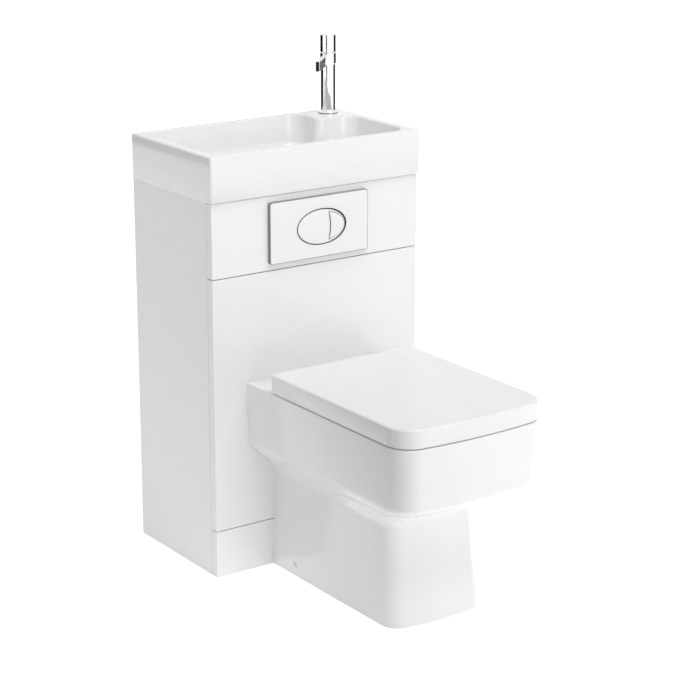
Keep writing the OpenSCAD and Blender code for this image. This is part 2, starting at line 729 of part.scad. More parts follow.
// supply tail under the nut, its length, and the relief between it and the nut
supply_r = 7;
supply_len = 18.5;
supply_z = inlet_nut_z - end_relief - supply_len;
head_z = tank_z0 + 216;
module inlet_valve() color(white_plastic) at_face() difference() {
    union() {
        rod_z(inlet_x, valve_y, supply_z, supply_r, supply_len);
        rod_z(inlet_x, valve_y, supply_z, supply_r - 0.4, 2 * supply_len);
        rod_z(inlet_x, valve_y, inlet_nut_z, shank_r, tank_z0 + tank_wall + 1 - inlet_nut_z);
        rod_z(inlet_x, valve_y, tank_z0 + tank_wall, 14, 5);
        rod_z(inlet_x, valve_y, tank_z0 + tank_wall, column_r, 215);
        rod_z(inlet_x, valve_y, head_z, 18, 22);
        block(inlet_x, inlet_x + 34, valve_y - 5, valve_y + 5, head_z + 8, head_z + 16);
    }
    rod_z(inlet_x, valve_y, tank_z0 - 42, 4, 200);
}
float_z = tank_z0 + 148;
float_r = 30;
module inlet_float() color(grey_plastic) at_face() difference() {
    rod_z(inlet_x, valve_y, float_z, float_r, 60);
    rod_z(inlet_x, valve_y, float_z - eps, column_r + fit, 62);
    // the cup is open from below
    difference() {
        rod_z(inlet_x, valve_y, float_z - eps, float_r - 3, 55);
        rod_z(inlet_x, valve_y, float_z - 2, column_r + 3, 60);
    }
}
module inlet_backnut() color(white_plastic) at_face() difference() {
    union() {
        rod_z(inlet_x, valve_y, tank_z0 - 3, 16, 3);
        translate([inlet_x, valve_y, inlet_nut_z]) cylinder(r = 14, h = 13, $fn = 6);
    }
    rod_z(inlet_x, valve_y, tank_z0 - 20, shank_r + fit, 30);
}

// flush valve: seat and cage, lifting tube, and the rod of the half flush
pipe_r = 20;
tube_r = 17;
cage_z = tank_z0 + 108;
half_rod_x = half_x;
module flush_valve_base() color(grey_plastic) at_face() difference() {
    union() {
        rod_z(0, valve_y, tank_z0 + tank_wall, 37, 12);
        rod_z(0, valve_y, tank_z0 - 30, valve_tail_r, 36);
        for (a = [55:90:325]) translate([0, valve_y, 0]) rotate([0, 0, a])
            block(29, 36, -4, 4, tank_z0 + tank_wall, cage_z + 10);
        rod_z(0, valve_y, cage_z, 36, 10);
        block(30, half_rod_x, valve_y - 6, valve_y + 6, cage_z, cage_z + 10);
        rod_z(half_rod_x, valve_y, cage_z, 8, 10);
    }
    rod_z(0, valve_y, tank_z0 - 37, pipe_r + loose, 60);
    rod_z(0, valve_y, cage_z - eps, tube_r + fit, 14);
    rod_z(half_rod_x, valve_y, cage_z - eps, stem_r + fit, 14);
}
tube_z = tank_z0 + tank_wall + 13;
tube_len = 180;
lift_gap = 0.3;
hook_z = lever_z + pad_r + lift_gap;
// flat hook over the rear arm of a lever, on top of a lifted rod
module lift_hook(x) {
    block(x - 6, x + 6, lever_y + lift_arm - 6, valve_y + 6, hook_z, hook_z + 3);
}
module flush_valve_tube() color(white_plastic) at_face() {
    difference() {
        union() {
            rod_z(0, valve_y, tank_z0 + tank_wall + 12 + loose, 26, 4);
            rod_z(0, valve_y, tube_z, tube_r, tube_len);
        }
        rod_z(0, valve_y, tank_z0, tube_r - 2, 230);
    }
    // bridge over the open tube, and the rod up to the hook
    block(-tube_r + 1, tube_r - 1, valve_y - 3, valve_y + 3, tube_z + tube_len - 12, tube_z + tube_len);
    block(full_x - 3, full_x + 3, valve_y + 1, valve_y + 5, tube_z + tube_len - 8, hook_z + 3);
    lift_hook(full_x);
}
module half_flush_rod() color(white_plastic) at_face() {
    rod_z(half_rod_x, valve_y, tank_z0 + 48, stem_r, hook_z + 1 - tank_z0 - 48);
    rod_z(half_rod_x, valve_y, tank_z0 + 63, 7, 28);
    lift_hook(half_x);
}
module flush_backnut() color(white_plastic) at_face() difference() {
    union() {
        rod_z(0, valve_y, tank_z0 - 3, backnut_r, 3);
        translate([0, valve_y, tank_z0 - 16]) cylinder(r = backnut_r, h = 14, $fn = 8);
    }
    rod_z(0, valve_y, tank_z0 - 20, valve_tail_r + fit, 30);
}

// flush pipe: down from the valve, a quarter bend, and forward into the pan
bend_r = 50;
module pipe_path(r) {
    rod_z(0, valve_y, inlet_z + bend_r, r, tank_z0 - 7 - inlet_z - bend_r);
    translate([0, valve_y - bend_r, inlet_z + bend_r]) rotate([0, -90, 0]) rotate([0, 0, 90])
        rotate_extrude(angle = 90) translate([bend_r, 0]) circle(r = r);
    rod_y(0, -38, inlet_z, r, valve_y - bend_r + 38);
}
module flush_pipe() color(white_plastic) at_face() difference() {
    pipe_path(pipe_r);
    pipe_path(pipe_r - 2);
    rod_z(0, valve_y, tank_z0 - 12, pipe_r - 2, 10);
    rod_y(0, -40, inlet_z, pipe_r - 2, 10);
}
socket_r = 27.5;
module flush_cone_seal() color(black_rubber) at_face() difference() {
    union() {
        rod_y(0, -30, inlet_z, socket_r - fit, 32);
        rod_y(0, 0, inlet_z, socket_r + 5, 4);
        translate([0, 4, inlet_z]) rotate([-90, 0, 0]) cylinder(r1 = socket_r + 5, r2 = pipe_r + 4, h = 14);
    }
    rod_y(0, -40, inlet_z, pipe_r + fit, 80);
}

// Pan: the outer form and the bowl are lofted, the ways through it are bored

// half outline of the pan seen from above, flat at the back, bowed at the front
function pan_outline(w, reach, r, bow, back) = let (fy = reach - bow)
    concat([for (i = [0:4]) [-w, back - (back + fy - r) * i / 5]],
        arc(-w + r, -fy + r, r, 180, 268, 8),
        [for (i = [1:7]) let (t = i / 4 - 1) [t * (w - r), -fy - bow * (1 - t * t)]],
        arc(w - r, -fy + r, r, 272, 360, 8),
        [for (i = [4:-1:0]) [w, back - (back + fy - r) * i / 5]]);

pan_half = pan_w / 2;
belly_half = pan_half - 4;
belly_reach = pan_reach - 4;
foot_corner_r = 38;
rim_ease = 2;
flare_steps = 8;
// one level of the outer form: height, half width, reach, corner radius
foot_levels = [[0, foot_w / 2, foot_reach, foot_corner_r],
    [neck_z / 2, (foot_w + neck_w) / 4 - 0.5, (foot_reach + neck_reach) / 2 - 3, foot_corner_r]];
flare_levels = [for (i = [0:flare_steps]) let (s = (1 - cos(180 * i / flare_steps)) / 2)
    [neck_z + (belly_z - neck_z) * i / flare_steps, neck_w / 2 + (belly_half - neck_w / 2) * s,
        neck_reach + (belly_reach - neck_reach) * s,
        foot_corner_r + (pan_corner_r - foot_corner_r) * s]];
rim_levels = [[(belly_z + pan_h) / 2, pan_half - 1.5, pan_reach - 1.5, pan_corner_r],
    [pan_h - rim_ease, pan_half, pan_reach, pan_corner_r],
    [pan_h - 0.6, pan_half - 0.6, pan_reach - 0.6, pan_corner_r],
    [pan_h, pan_half - rim_ease, pan_reach - rim_ease, pan_corner_r]];

function level_ring(l, inset, back) =
    at_height(pan_outline(l[1] - inset, l[2] - inset, l[3] - inset / 2, pan_bow, back), l[0]);

slab_t = 14;
flange_y = -14;
module pan_outer() loft([for (l = concat(foot_levels, flare_levels, rim_levels)) level_ring(l, 0, 0)]);
// hollow inside the walls, open below
module pan_hollow() {
    hollow_top = [pan_h - slab_t, pan_half - 1, pan_reach - 1, pan_corner_r];
    loft(concat([at_height(pan_outline(foot_w / 2 - china_t, foot_reach - china_t,
            foot_corner_r - china_t / 2, pan_bow, flange_y), -eps)],
        [for (l = concat([foot_levels[1]], flare_levels, [hollow_top])) level_ring(l, china_t, flange_y)]));
}

bowl_y = -290;
// levels of the bowl from the rim down: height, half width, half length, shift of the centre
bowl_levels = [[pan_h + eps, 121, 160, 0], [pan_h, 121, 160, 0], [pan_h - 2, 118, 157, 0],
    [pan_h - 8, 116, 155, 0], [pan_h - slab_t, 115, 154, 0], [pan_h - 45, 109, 147, 0],
    [320, 97, 132, 2], [285, 80, 108, 3], [250, 63, 82, 3], [215, 50, 62, 2], [180, 41, 50, 1],
    [150, 35, 39, 0], [110, 24, 24, 4]];
// place of the underside of the rim's slab in that list
under_slab = 4;
function bowl_ring(l, grow) = [for (i = [0:35]) let (a = 10 * i, c = cos(a), s = sin(a))
    [(l[1] + grow) * sign(c) * pow(abs(c), 0.92),
        bowl_y + l[3] + (l[2] + grow) * sign(s) * pow(abs(s), 0.92), l[0]]];

// way of the trap, seen from the side: back from the sump under the bowl, up a limb behind it to
// the weir, which keeps the water above the way's lowest bend, and down to the wider outlet
trap_bore_r = 28;
trap_wall = 10;
sump = [-286, 108];
limb_foot = [-248, 108];
weir = [-140, 238];
outlet_start = [-50, soil_z];
outlet_bore_r = 36;
// one leg of the way, two equal bends: places out and up, each with its slope
function leg(a, b, steps) = let (turn = 2 * atan2(b[1] - a[1], b[0] - a[0]),
    bend_r = (b[0] - a[0]) / (2 * sin(turn)))
    concat([for (i = [1:steps]) let (s = turn * i / steps)
        [a[0] + bend_r * sin(s), a[1] + bend_r * (1 - cos(s)), s]],
    [for (i = [steps - 1:-1:0]) let (s = turn * i / steps)
        [b[0] - bend_r * sin(s), b[1] - bend_r * (1 - cos(s)), s]]);
function tube_ring(p, r) = [for (a = [0:18:342])
    [r * cos(a), p[0] + r * sin(a) * sin(p[2]), p[1] - r * sin(a) * cos(p[2])]];
down_leg = leg(weir, outlet_start, 3);
module trap_way(r) loft(concat(
    [for (b = [-80, -60, -40, -20]) tube_ring([sump[0] + r * sin(b), sump[1], 0], r * cos(b))],
    [for (p = concat([[sump[0], sump[1], 0], [limb_foot[0], limb_foot[1], 0]], leg(limb_foot, weir, 5)))
        tube_ring(p, r)],
    [for (i = [0:5]) tube_ring(down_leg[i], r + (outlet_bore_r - trap_bore_r) * (i + 1) / 6)]));
// where the inlet socket meets the back of the bowl
inlet_y = -160;
spigot_r = 51;
spigot_out = 62;
fixing_y = -80;
fixing_z = 22;
screw_r = 3;
bolt_hole_r = 8;
hinge_x = 77.5;
hinge_y = -68;
hinge_z = pan_h + 18;

// outer form of the pan with the slab of its rim, cast apart from the bowl and stuck to it in clay
module pan() color(china) at_face() difference() {
    pan_outer();
    pan_hollow();
    // back of the pan, open between its flanges
    block(-84, 84, flange_y - eps, eps, -eps, pan_h - slab_t - 18);
    loft([for (i = [0:under_slab + 1]) bowl_ring(bowl_levels[i], 0)]);
    for (sx = [-1, 1]) {
        rod_z(sx * hinge_x, hinge_y, pan_h - slab_t - eps, bolt_hole_r, slab_t + 2 * eps);
        rod_x(sx * foot_w / 2 - 20, fixing_y, fixing_z, screw_r + 1, 40);
    }
}
// bowl, hung from the underside of the slab, with its trap, outlet spigot and inlet socket
module bowl_and_trap() color(china) at_face() difference() {
    union() {
        loft([for (i = [under_slab:len(bowl_levels) - 1]) bowl_ring(bowl_levels[i], trap_wall)]);
        trap_way(trap_bore_r + trap_wall);
        rod_y(0, -60, soil_z, spigot_r, 60 + spigot_out);
        // inlet socket
        rod_y(0, inlet_y, inlet_z, socket_r + 7.5, -inlet_y);
    }
    loft([for (l = bowl_levels) bowl_ring(l, 0)]);
    trap_way(trap_bore_r);
    rod_y(0, -60, soil_z, outlet_bore_r, 60 + spigot_out + eps);
    rod_y(0, inlet_y - 10, inlet_z, pipe_r, -inlet_y + 10 + eps);
    rod_y(0, -42, inlet_z, socket_r, 42 + eps);
}

foot_inner = foot_w / 2 - china_t - 3;
module pan_brackets() color(white_plastic) at_face() both_sides() difference() {
    union() {
        block(-foot_inner, -foot_inner + 30, fixing_y - 20, fixing_y + 20, 0, 6);
        block(-foot_inner, -foot_inner + 16, fixing_y - 14, fixing_y + 14, 0, 38);
    }
    rod_x(-foot_inner - eps, fixing_y, fixing_z, screw_r + fit, 20);
    rod_z(-foot_inner + 23, fixing_y, -eps, 3, 10);
}
module pan_fixing_screws() color(white_plastic) at_face() both_sides() {
    rod_x(-foot_w / 2 - 2, fixing_y, fixing_z, screw_r, 24);
    translate([-foot_w / 2 - 2, fixing_y, fixing_z]) rotate([0, 90, 0]) cylinder(r1 = 5, r2 = 6.5, h = 2);
}

connector_y = 30;
module pan_connector() color(white_plastic) at_face() difference() {
    union() {
        rod_y(0, connector_y, soil_z, 59.5, 30);
        rod_y(0, connector_y + 6, soil_z, 55, unit_d - connector_y - 6);
    }
    rod_y(0, connector_y - eps, soil_z, spigot_r + fit, 38);
    rod_y(0, connector_y, soil_z, 48, unit_d);
}

// Seat, lid and hinge

lid_z = pan_h + lid_seam;
lid_top = lid_z + lid_h;
lid_edge_r = 6;
seat_z = pan_h + 3.5;
// outline of the lid and seat, flat at the back, with small rear corners
function lid_outline(inset, r, rear_r) = let (
    w = pan_half - inset, fy = pan_reach - inset - pan_bow, by = lid_setback + inset)
    concat(arc(-w + rear_r, -by - rear_r, rear_r, 90, 180, 4),
        [for (i = [1:3]) [-w, -by - rear_r - (fy - r - by - rear_r) * i / 4]],
        arc(-w + r, -fy + r, r, 180, 268, 8),
        [for (i = [1:7]) let (t = i / 4 - 1) [t * (w - r), -fy - pan_bow * (1 - t * t)]],
        arc(w - r, -fy + r, r, 272, 360, 8),
        [for (i = [3:-1:1]) [w, -by - rear_r - (fy - r - by - rear_r) * i / 4]],
        arc(w - rear_r, -by - rear_r, rear_r, 0, 90, 4));

knuckle_r = 9;
pin_r = 4;
seat_knuckle_x = 50;
pillar_x0 = 62.5;
pillar_x1 = 92.5;
knuckle_len = 12;
seat_rear = 99;
module lid() color(white_plastic) at_face() difference() {
    union() {
        difference() {
            loft(concat([at_height(lid_outline(0, pan_corner_r, 8), lid_z)],
                [for (a = [0:18:90]) at_height(lid_outline(lid_edge_r * (1 - cos(a)), pan_corner_r, 8),
                    lid_top - lid_edge_r * (1 - sin(a)))]));
            loft([at_height(lid_outline(lid_t, pan_corner_r - 3, 5), lid_z - eps),
                at_height(lid_outline(lid_t, pan_corner_r - 3, 5), lid_top - 6),
                at_height(lid_outline(lid_t + 3, pan_corner_r - 4, 5), lid_top - 3.5)]);
            // notches that the seat's hinge arms pass through
            for (sx = [-1, 1]) block(sx * (seat_knuckle_x + 6) - 8, sx * (seat_knuckle_x + 6) + 8,
                -lid_setback - lid_t - eps, -lid_setback + eps, lid_z - eps, lid_top - 6);
        }
        // knuckles on arms from the rear skirt
        both_sides() {
            rod_x(pillar_x1 + 0.5, hinge_y, hinge_z, knuckle_r, knuckle_len);
            block(pillar_x1 + 0.5, pillar_x1 + 0.5 + knuckle_len, -lid_setback - 1, hinge_y,
                hinge_z - 5, hinge_z + knuckle_r);
        }
    }
    both_sides() rod_x(pillar_x1 - eps, hinge_y, hinge_z, pin_r + fit, knuckle_len + 4);
}

seat_hole = [106, 148];
// outline of the seat's opening, an egg that is blunter at the back
function hole_outline(grow) = [for (i = [0:35]) let (a = 10 * i, c = cos(a), s = sin(a))
    [(seat_hole[0] + grow) * sign(c) * pow(abs(c), s > 0 ? 0.8 : 0.95),
        bowl_y - 6 + (seat_hole[1] + grow) * s]];
seat_inset = 6.5;
module seat_ring() color(white_plastic) at_face() difference() {
    union() {
        difference() {
            intersection() {
                loft(concat([at_height(lid_outline(seat_inset + 3, pan_corner_r - 5, 6), seat_z),
                    at_height(lid_outline(seat_inset, pan_corner_r - 4, 6), seat_z + 4)],
                    [for (a = [0:30:90]) at_height(
                        lid_outline(seat_inset + 6 * (1 - cos(a)), pan_corner_r - 4, 6),
                        seat_z + seat_t - 6 * (1 - sin(a)))]));
                block(-far * 2, far * 2, -pan_reach - eps, -seat_rear, 0, pan_h + 60);
            }
            // opening with a rolled upper edge
            loft(concat([at_height(hole_outline(0), seat_z - eps),
                at_height(hole_outline(0), seat_z + seat_t - 8)],
                [for (a = [30:30:90]) at_height(hole_outline(8 * (1 - cos(a))),
                    seat_z + seat_t - 8 + 8 * sin(a))],
                [at_height(hole_outline(8), seat_z + seat_t + eps)]));
        }
        both_sides() {
            rod_x(seat_knuckle_x, hinge_y, hinge_z, knuckle_r, knuckle_len);
            block(seat_knuckle_x, seat_knuckle_x + knuckle_len, -seat_rear - 2, hinge_y,
                hinge_z - knuckle_r, hinge_z - 2);
        }
    }
    both_sides() rod_x(seat_knuckle_x - eps, hinge_y, hinge_z, pin_r + fit, knuckle_len + 4);
}

bolt_r = 3;
module hinge_pillars() color(chrome) at_face() both_sides() difference() {
    union() {
        rod_z(hinge_x, hinge_y, pan_h, 15, 5);
        block(pillar_x0, pillar_x1, hinge_y - knuckle_r, hinge_y + knuckle_r, pan_h + 4, hinge_z);
        rod_x(pillar_x0, hinge_y, hinge_z, knuckle_r, pillar_x1 - pillar_x0);
    }
    rod_x(pillar_x0 - eps, hinge_y, hinge_z, pin_r + fit, pillar_x1 - pillar_x0 + 2 * eps);
    rod_z(hinge_x, hinge_y, pan_h - eps, bolt_r + fit, 11);
}
module hinge_pins() color(steel) at_face() both_sides()
    rod_x(seat_knuckle_x + 1, hinge_y, hinge_z, pin_r, pillar_x1 + knuckle_len - seat_knuckle_x - 2);
module hinge_bolts() color(steel) at_face() both_sides() {
    rod_z(hinge_x, hinge_y, pan_h - 70, bolt_r, 79);
    // sleeve that centres the bolt in the ceramic, and the nut under the slab
    rod_z(hinge_x, hinge_y, pan_h - slab_t, bolt_hole_r - loose, slab_t);
    rod_z(hinge_x, hinge_y, pan_h - slab_t - 14, 12, 14);
}

seat_buffer_spots = [[120, -180], [120, -400]];
module seat_buffers() color(black_rubber) at_face() both_sides()
    for (p = seat_buffer_spots) rod_z(p[0] + 12, p[1], pan_h + loose, 8, seat_z - pan_h - loose);
lid_buffer_spots = [[130, -170], [110, -455]];
module lid_buffers() color(white_plastic) at_face() both_sides()
    for (p = lid_buffer_spots)
        rod_z(p[0], p[1], seat_z + seat_t + loose, 7, lid_top - 3.5 - seat_z - seat_t - loose);

side_panel_left();
side_panel_right();
fascia_panel();
front_panel();
plinth_panel();
top_rail_front();
top_rail_back();
back_rail_upper();
front_rail_middle();
front_rail_lower();
cistern_shelf();
corner_blocks();
panel_clips();
wall_brackets();
basin();
waste_body();
waste_plug();
waste_backnut();
trap_body();
trap_cup();
waste_pipe();
tap_body();
tap_spout();
tap_handle();
tap_aerator();
tap_stud();
tap_clamp_nut();
hot_hose();
cold_hose();
flush_frame();
flush_plate();
full_flush_button();
half_flush_button();
cistern_tank();
cistern_lid();
lever_pin();
full_flush_lever();
half_flush_lever();
inlet_valve();
inlet_float();
inlet_backnut();
flush_valve_base();
flush_valve_tube();
half_flush_rod();
flush_backnut();
flush_pipe();
flush_cone_seal();
pan();
bowl_and_trap();
pan_brackets();
pan_fixing_screws();
pan_connector();
seat_ring();
lid();
hinge_pillars();
hinge_pins();
hinge_bolts();
seat_buffers();
lid_buffers();
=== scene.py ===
"""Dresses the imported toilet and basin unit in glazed, foiled, moulded and plated surfaces.

Places are worked out in millimetres from the cabinet's front face, x to the right, y towards the
wall and z up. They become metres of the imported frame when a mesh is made.
"""
import math

import bpy
import numpy as np
from bpy.props import FloatProperty, FloatVectorProperty, PointerProperty
from bpy.types import Operator, Panel, PropertyGroup
from mathutils import Matrix, Vector


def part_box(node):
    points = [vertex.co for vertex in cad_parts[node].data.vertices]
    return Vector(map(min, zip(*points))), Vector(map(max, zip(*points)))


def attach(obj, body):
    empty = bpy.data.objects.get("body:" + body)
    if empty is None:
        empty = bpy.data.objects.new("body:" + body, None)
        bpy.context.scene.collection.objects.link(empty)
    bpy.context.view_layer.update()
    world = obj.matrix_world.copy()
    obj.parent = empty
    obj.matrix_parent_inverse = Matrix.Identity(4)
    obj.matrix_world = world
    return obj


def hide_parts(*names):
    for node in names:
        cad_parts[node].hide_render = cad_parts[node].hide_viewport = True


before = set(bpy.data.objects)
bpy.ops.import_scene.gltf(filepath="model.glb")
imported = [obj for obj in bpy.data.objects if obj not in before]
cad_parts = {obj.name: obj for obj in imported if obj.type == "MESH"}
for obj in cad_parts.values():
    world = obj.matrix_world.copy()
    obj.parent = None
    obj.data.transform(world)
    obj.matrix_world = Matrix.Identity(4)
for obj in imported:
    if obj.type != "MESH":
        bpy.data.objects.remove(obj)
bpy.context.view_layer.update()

bl_info = {
    "name": "Toilet and basin unit",
    "version": (1, 0, 0),
    "blender": (4, 5, 0),
    "location": "3D View > Sidebar > Unit",
    "description": "Builds the visible surfaces, finishes and stage of a toilet and basin unit",
    "category": "Object",
}

FACE_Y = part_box("front_panel")[0].y


def edge(node, corner, axis):
    """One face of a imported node's box, in metres."""
    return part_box(node)[corner][axis]


def edge_mm(node, corner, axis):
    """The same in millimetres, with the depth counted from the cabinet's face."""
    return 1000 * (edge(node, corner, axis) - (FACE_Y if axis == 1 else 0))


# Points, rings and shells. A shell is its points and a list of face arrays.


def arc(cx, cy, r, start, end, steps):
    """Arc without its last point: the centre plus r times the cosine and sine of even angles."""
    a = np.radians(np.linspace(start, end, steps, endpoint=False))
    return np.stack([cx + r * np.cos(a), cy + r * np.sin(a)], -1)


def run(p, q, steps):
    """Straight run without its last point: (1 - t) p + t q."""
    t = np.linspace(0, 1, steps, endpoint=False)[:, None]
    return (1 - t) * np.asarray(p, float) + t * np.asarray(q, float)


def smooth(x, knots, values):
    """Cubic Hermite curve through the knots, each slope being the mean slope about that knot."""
    knots, values = np.asarray(knots, float), np.asarray(values, float)
    slope = np.gradient(values, knots)
    i = np.clip(np.searchsorted(knots, x) - 1, 0, len(knots) - 2)
    h = knots[i + 1] - knots[i]
    t = (x - knots[i]) / h
    return ((1 + 2 * t) * (1 - t) ** 2 * values[i] + t * (1 - t) ** 2 * h * slope[i]
            + t * t * (3 - 2 * t) * values[i + 1] + t * t * (t - 1) * h * slope[i + 1])


def lifted(outline, z):
    """Outline in plan raised to a height, or to one height for each of its points."""
    return np.column_stack([outline, np.broadcast_to(z, len(outline))])


def upright(outline, y):
    """Outline in the x and z plane, set at a depth."""
    return np.column_stack([outline[:, 0], np.full(len(outline), y), outline[:, 1]])


def skin(rings, wrap=False):
    """Quads from each ring to the next and round each ring: (i, j), (i, j+1), (i+1, j+1), (i+1, j).
    With wrap the last ring joins the first. Without it each end closes in a fan about its middle."""
    stack = np.stack(rings)
    m, n = stack.shape[:2]
    i, j = np.meshgrid(np.arange(m if wrap else m - 1), np.arange(n), indexing="ij")
    k, l = (i + 1) % m, (j + 1) % n
    quads = np.stack([i * n + j, i * n + l, k * n + l, k * n + j], -1).reshape(-1, 4)
    points = stack.reshape(-1, 3)
    if wrap:
        return points, [quads]
    a = np.arange(n)
    b, last = (a + 1) % n, (m - 1) * n
    low = np.stack([np.full(n, m * n), b, a], -1)
    high = np.stack([np.full(n, m * n + 1), last + a, last + b], -1)
    return np.vstack([points, stack[0].mean(0), stack[-1].mean(0)]), [quads, low, high]


def windowed(shell, width, fold, height, columns):
    """Opens a window through a wall whose inner rings run down to ring fold and whose outer rings
    run up from the next one: takes out height rings of quads on both faces between two columns,
    and closes the two jambs and the lintel."""
    points, faces = shell
    quads = faces[0]
    row, column = quads[:, 0] // width, quads[:, 0] % width
    c0, c1 = columns
    gone = (abs(row - fold) <= height) & (column >= c0) & (column < c1)
    k = np.arange(height)
    inner, outer = (fold - k) * width, (fold + 1 + k) * width
    jambs = [np.stack([inner + c0, inner - width + c0, outer + width + c0, outer + c0], -1),
             np.stack([inner + c1, outer + c1, outer + width + c1, inner - width + c1], -1)]
    c = np.arange(c0, c1)
    top_in, top_out = (fold - height) * width + c, (fold + 1 + height) * width + c
    lintel = np.stack([top_in, top_in + 1, top_out + 1, top_out], -1)
    return points, [np.concatenate([quads[~gone], *jambs, lintel])] + faces[1:]


def together(*shells):
    """Several shells as one, with the face numbers moved on."""
    points, faces, start = [], [], 0
    for p, arrays in shells:
        points.append(p)
        faces += [a + start for a in arrays]
        start += len(p)
    return np.concatenate(points), faces


def unit_circle(steps):
    """Circle of radius 1 at even angles: cosine and sine."""
    return arc(0, 0, 1, 0, 360, steps)


def turned(profile, cx, cy, steps, raise_to=lifted, wrap=False):
    """Turned shape: each profile point (radius, height) carried round a circle, about an upright
    axis or, raised with fronted, about one that points forward from the wall."""
    circle = unit_circle(steps)
    return skin([raise_to([cx, cy] + r * circle, h) for r, h in profile], wrap)


def fronted(outline, depth):
    """Outline in the x and z plane, set at a depth forward from the cabinet's face."""
    return upright(outline, -depth)


def mirrored(shell):
    """The shell's other-handed twin across x = 0, with its faces turned the right way again."""
    points, faces = shell
    return points * [-1, 1, 1], [a[:, ::-1] for a in faces]


# angles of a quarter round, by which an edge of radius r is drawn in and lowered
QUARTER = np.radians(np.arange(0, 91, 15))


def drawn(r, angle):
    """How far a rounded edge of radius r has come in at an angle: r (1 - cos)."""
    return r * (1 - math.cos(angle))


def sunk(r, angle):
    """How far a rounded edge of radius r still lies below its top at an angle: r (1 - sin)."""
    return r * (1 - math.sin(angle))


def eased(cx, cy, r, start, end, steps=6):
    """Arc of a profile with both its ends."""
    a = np.radians(np.linspace(start, end, steps + 1))
    return [(cx + r * math.cos(t), cy + r * math.sin(t)) for t in a]


def swept(outline, start, direction, stations):
    """Bar along a level direction: a section (across, up) at each station (distance, inset)."""
    along = np.array([*direction, 0.0])
    across = np.cross([0, 0, 1], along)
    middle = outline.mean(0)
    rings = []
    for distance, inset in stations:
        section = outline - np.sign(outline - middle) * inset
        rings.append(np.asarray(start, float) + distance * along + section[:, :1] * across
                     + section[:, 1:] * np.array([0, 0, 1.0]))
    return skin(rings)


def box_outline(w, h, r, side=12, corner=8):
    """Rectangle with rounded corners about the middle, from its lower right corner upwards."""
    x, y = w / 2 - r, h / 2 - r
    return np.concatenate([
        arc(x, -y, r, 270, 360, corner), run((x + r, -y), (x + r, y), side),
        arc(x, y, r, 0, 90, corner), run((x, y + r), (-x, y + r), side),
        arc(-x, y, r, 90, 180, corner), run((-x - r, y), (-x - r, -y), side),
        arc(-x, -y, r, 180, 270, corner), run((-x, -y - r), (x, -y - r), side)])


def linked(name, data):
    """New object for a mesh, lamp or camera, linked to the scene."""
    obj = bpy.data.objects.new(name, data)
    bpy.context.scene.collection.objects.link(obj)
    return obj


def make_piece(name, shell, body, finish, stands_for=(), crease=38):
    """Puts a shell into a mesh at its own place, finishes it and lets it ride on its body."""
    points, faces = shell
    mesh = bpy.data.meshes.new(name)
    placed = points / 1000 + [0, FACE_Y, 0]
    mesh.from_pydata(placed.tolist(), [], [face for a in faces for face in a.tolist()])
    mesh.shade_smooth()
    mesh.set_sharp_from_angle(angle=math.radians(crease))
    mesh.materials.append(finish)
    obj = linked(name, mesh)
    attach(obj, body)
    if stands_for:
        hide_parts(*stands_for)
    return obj


# Finishes


class Value:
    """A socket of a finish, so that its maths is written with + - * / and their reflected forms."""

    def __init__(self, finish, socket):
        self.finish, self.socket = finish, socket

    def maths(self, operation, *values):
        return self.finish.node("ShaderNodeMath", {"operation": operation}, dict(enumerate(values)))

    def __add__(self, other):
        return self.maths("ADD", self, other)

    def __sub__(self, other):
        return self.maths("SUBTRACT", self, other)

    def __rsub__(self, other):
        return self.maths("SUBTRACT", other, self)

    def __mul__(self, other):
        return self.maths("MULTIPLY", self, other)

    def __truediv__(self, other):
        return self.maths("DIVIDE", self, other)

    def __pow__(self, other):
        return self.maths("POWER", self, other)

    __radd__, __rmul__ = __add__, __mul__


class Finish:
    """A material with one Principled shader, whose fixed values sit on the shader's own sockets."""

    def __init__(self, name, **fixed):
        self.material = bpy.data.materials.new(name)
        self.material.use_nodes = True
        self.tree = self.material.node_tree
        self.shader = self.tree.nodes["Principled BSDF"]
        for socket, value in fixed.items():
            self.shader.inputs[socket.replace("_", " ")].default_value = value
        self.place = self.node("ShaderNodeTexCoord", output="Object")

    def feed(self, socket, value):
        """Links a value of this finish to a socket, or sets a plain number on it."""
        if isinstance(value, Value):
            self.tree.links.new(value.socket, socket)
        else:
            socket.default_value = value

    def node(self, kind, settings=None, inputs=None, output=0):
        """A node of any kind: its settings first, then its inputs; gives back one output."""
        node = self.tree.nodes.new(kind)
        for key, value in (settings or {}).items():
            setattr(node, key, value)
        for key, value in (inputs or {}).items():
            self.feed(node.inputs[key], value)
        return Value(self, node.outputs[output])

    def stretched(self, x, y, z, turn=(0, 0, 0)):
        """The place, with each axis scaled and the whole turned."""
        return self.node("ShaderNodeMapping", None,
                         {"Vector": self.place, "Scale": (x, y, z), "Rotation": turn})

    def noise(self, scale, detail=2.0, place=None):
        """Soft random value from 0 to 1."""
        return self.node("ShaderNodeTexNoise", None,
                         {"Vector": place or self.place, "Scale": scale, "Detail": detail}, "Fac")

    def between(self, share, low, high):
        """Colour that goes from low to high with the share."""
        return self.node("ShaderNodeMix", {"data_type": "RGBA"},
                         {0: share, 6: (*low, 1), 7: (*high, 1)}, 2)

    def tinted(self, share, colour, low, high):
        """A colour made lighter or darker between two factors."""
        return self.between(share, shade(colour, low), shade(colour, high))

    def dent(self, height, distance, strength=1.0):
        """Normal that follows a height, in metres of full depth."""
        return self.node("ShaderNodeBump", None,
                         {"Height": height, "Distance": distance, "Strength": strength})

    def drive(self, **links):
        """Feeds what varies over the surface to the shader."""
        for socket, value in links.items():
            self.feed(self.shader.inputs[socket.replace("_", " ")], value)
        return self.material


def shade(colour, factor):
    """A colour made lighter or darker."""
    return tuple(min(1.0, c * factor) for c in colour)


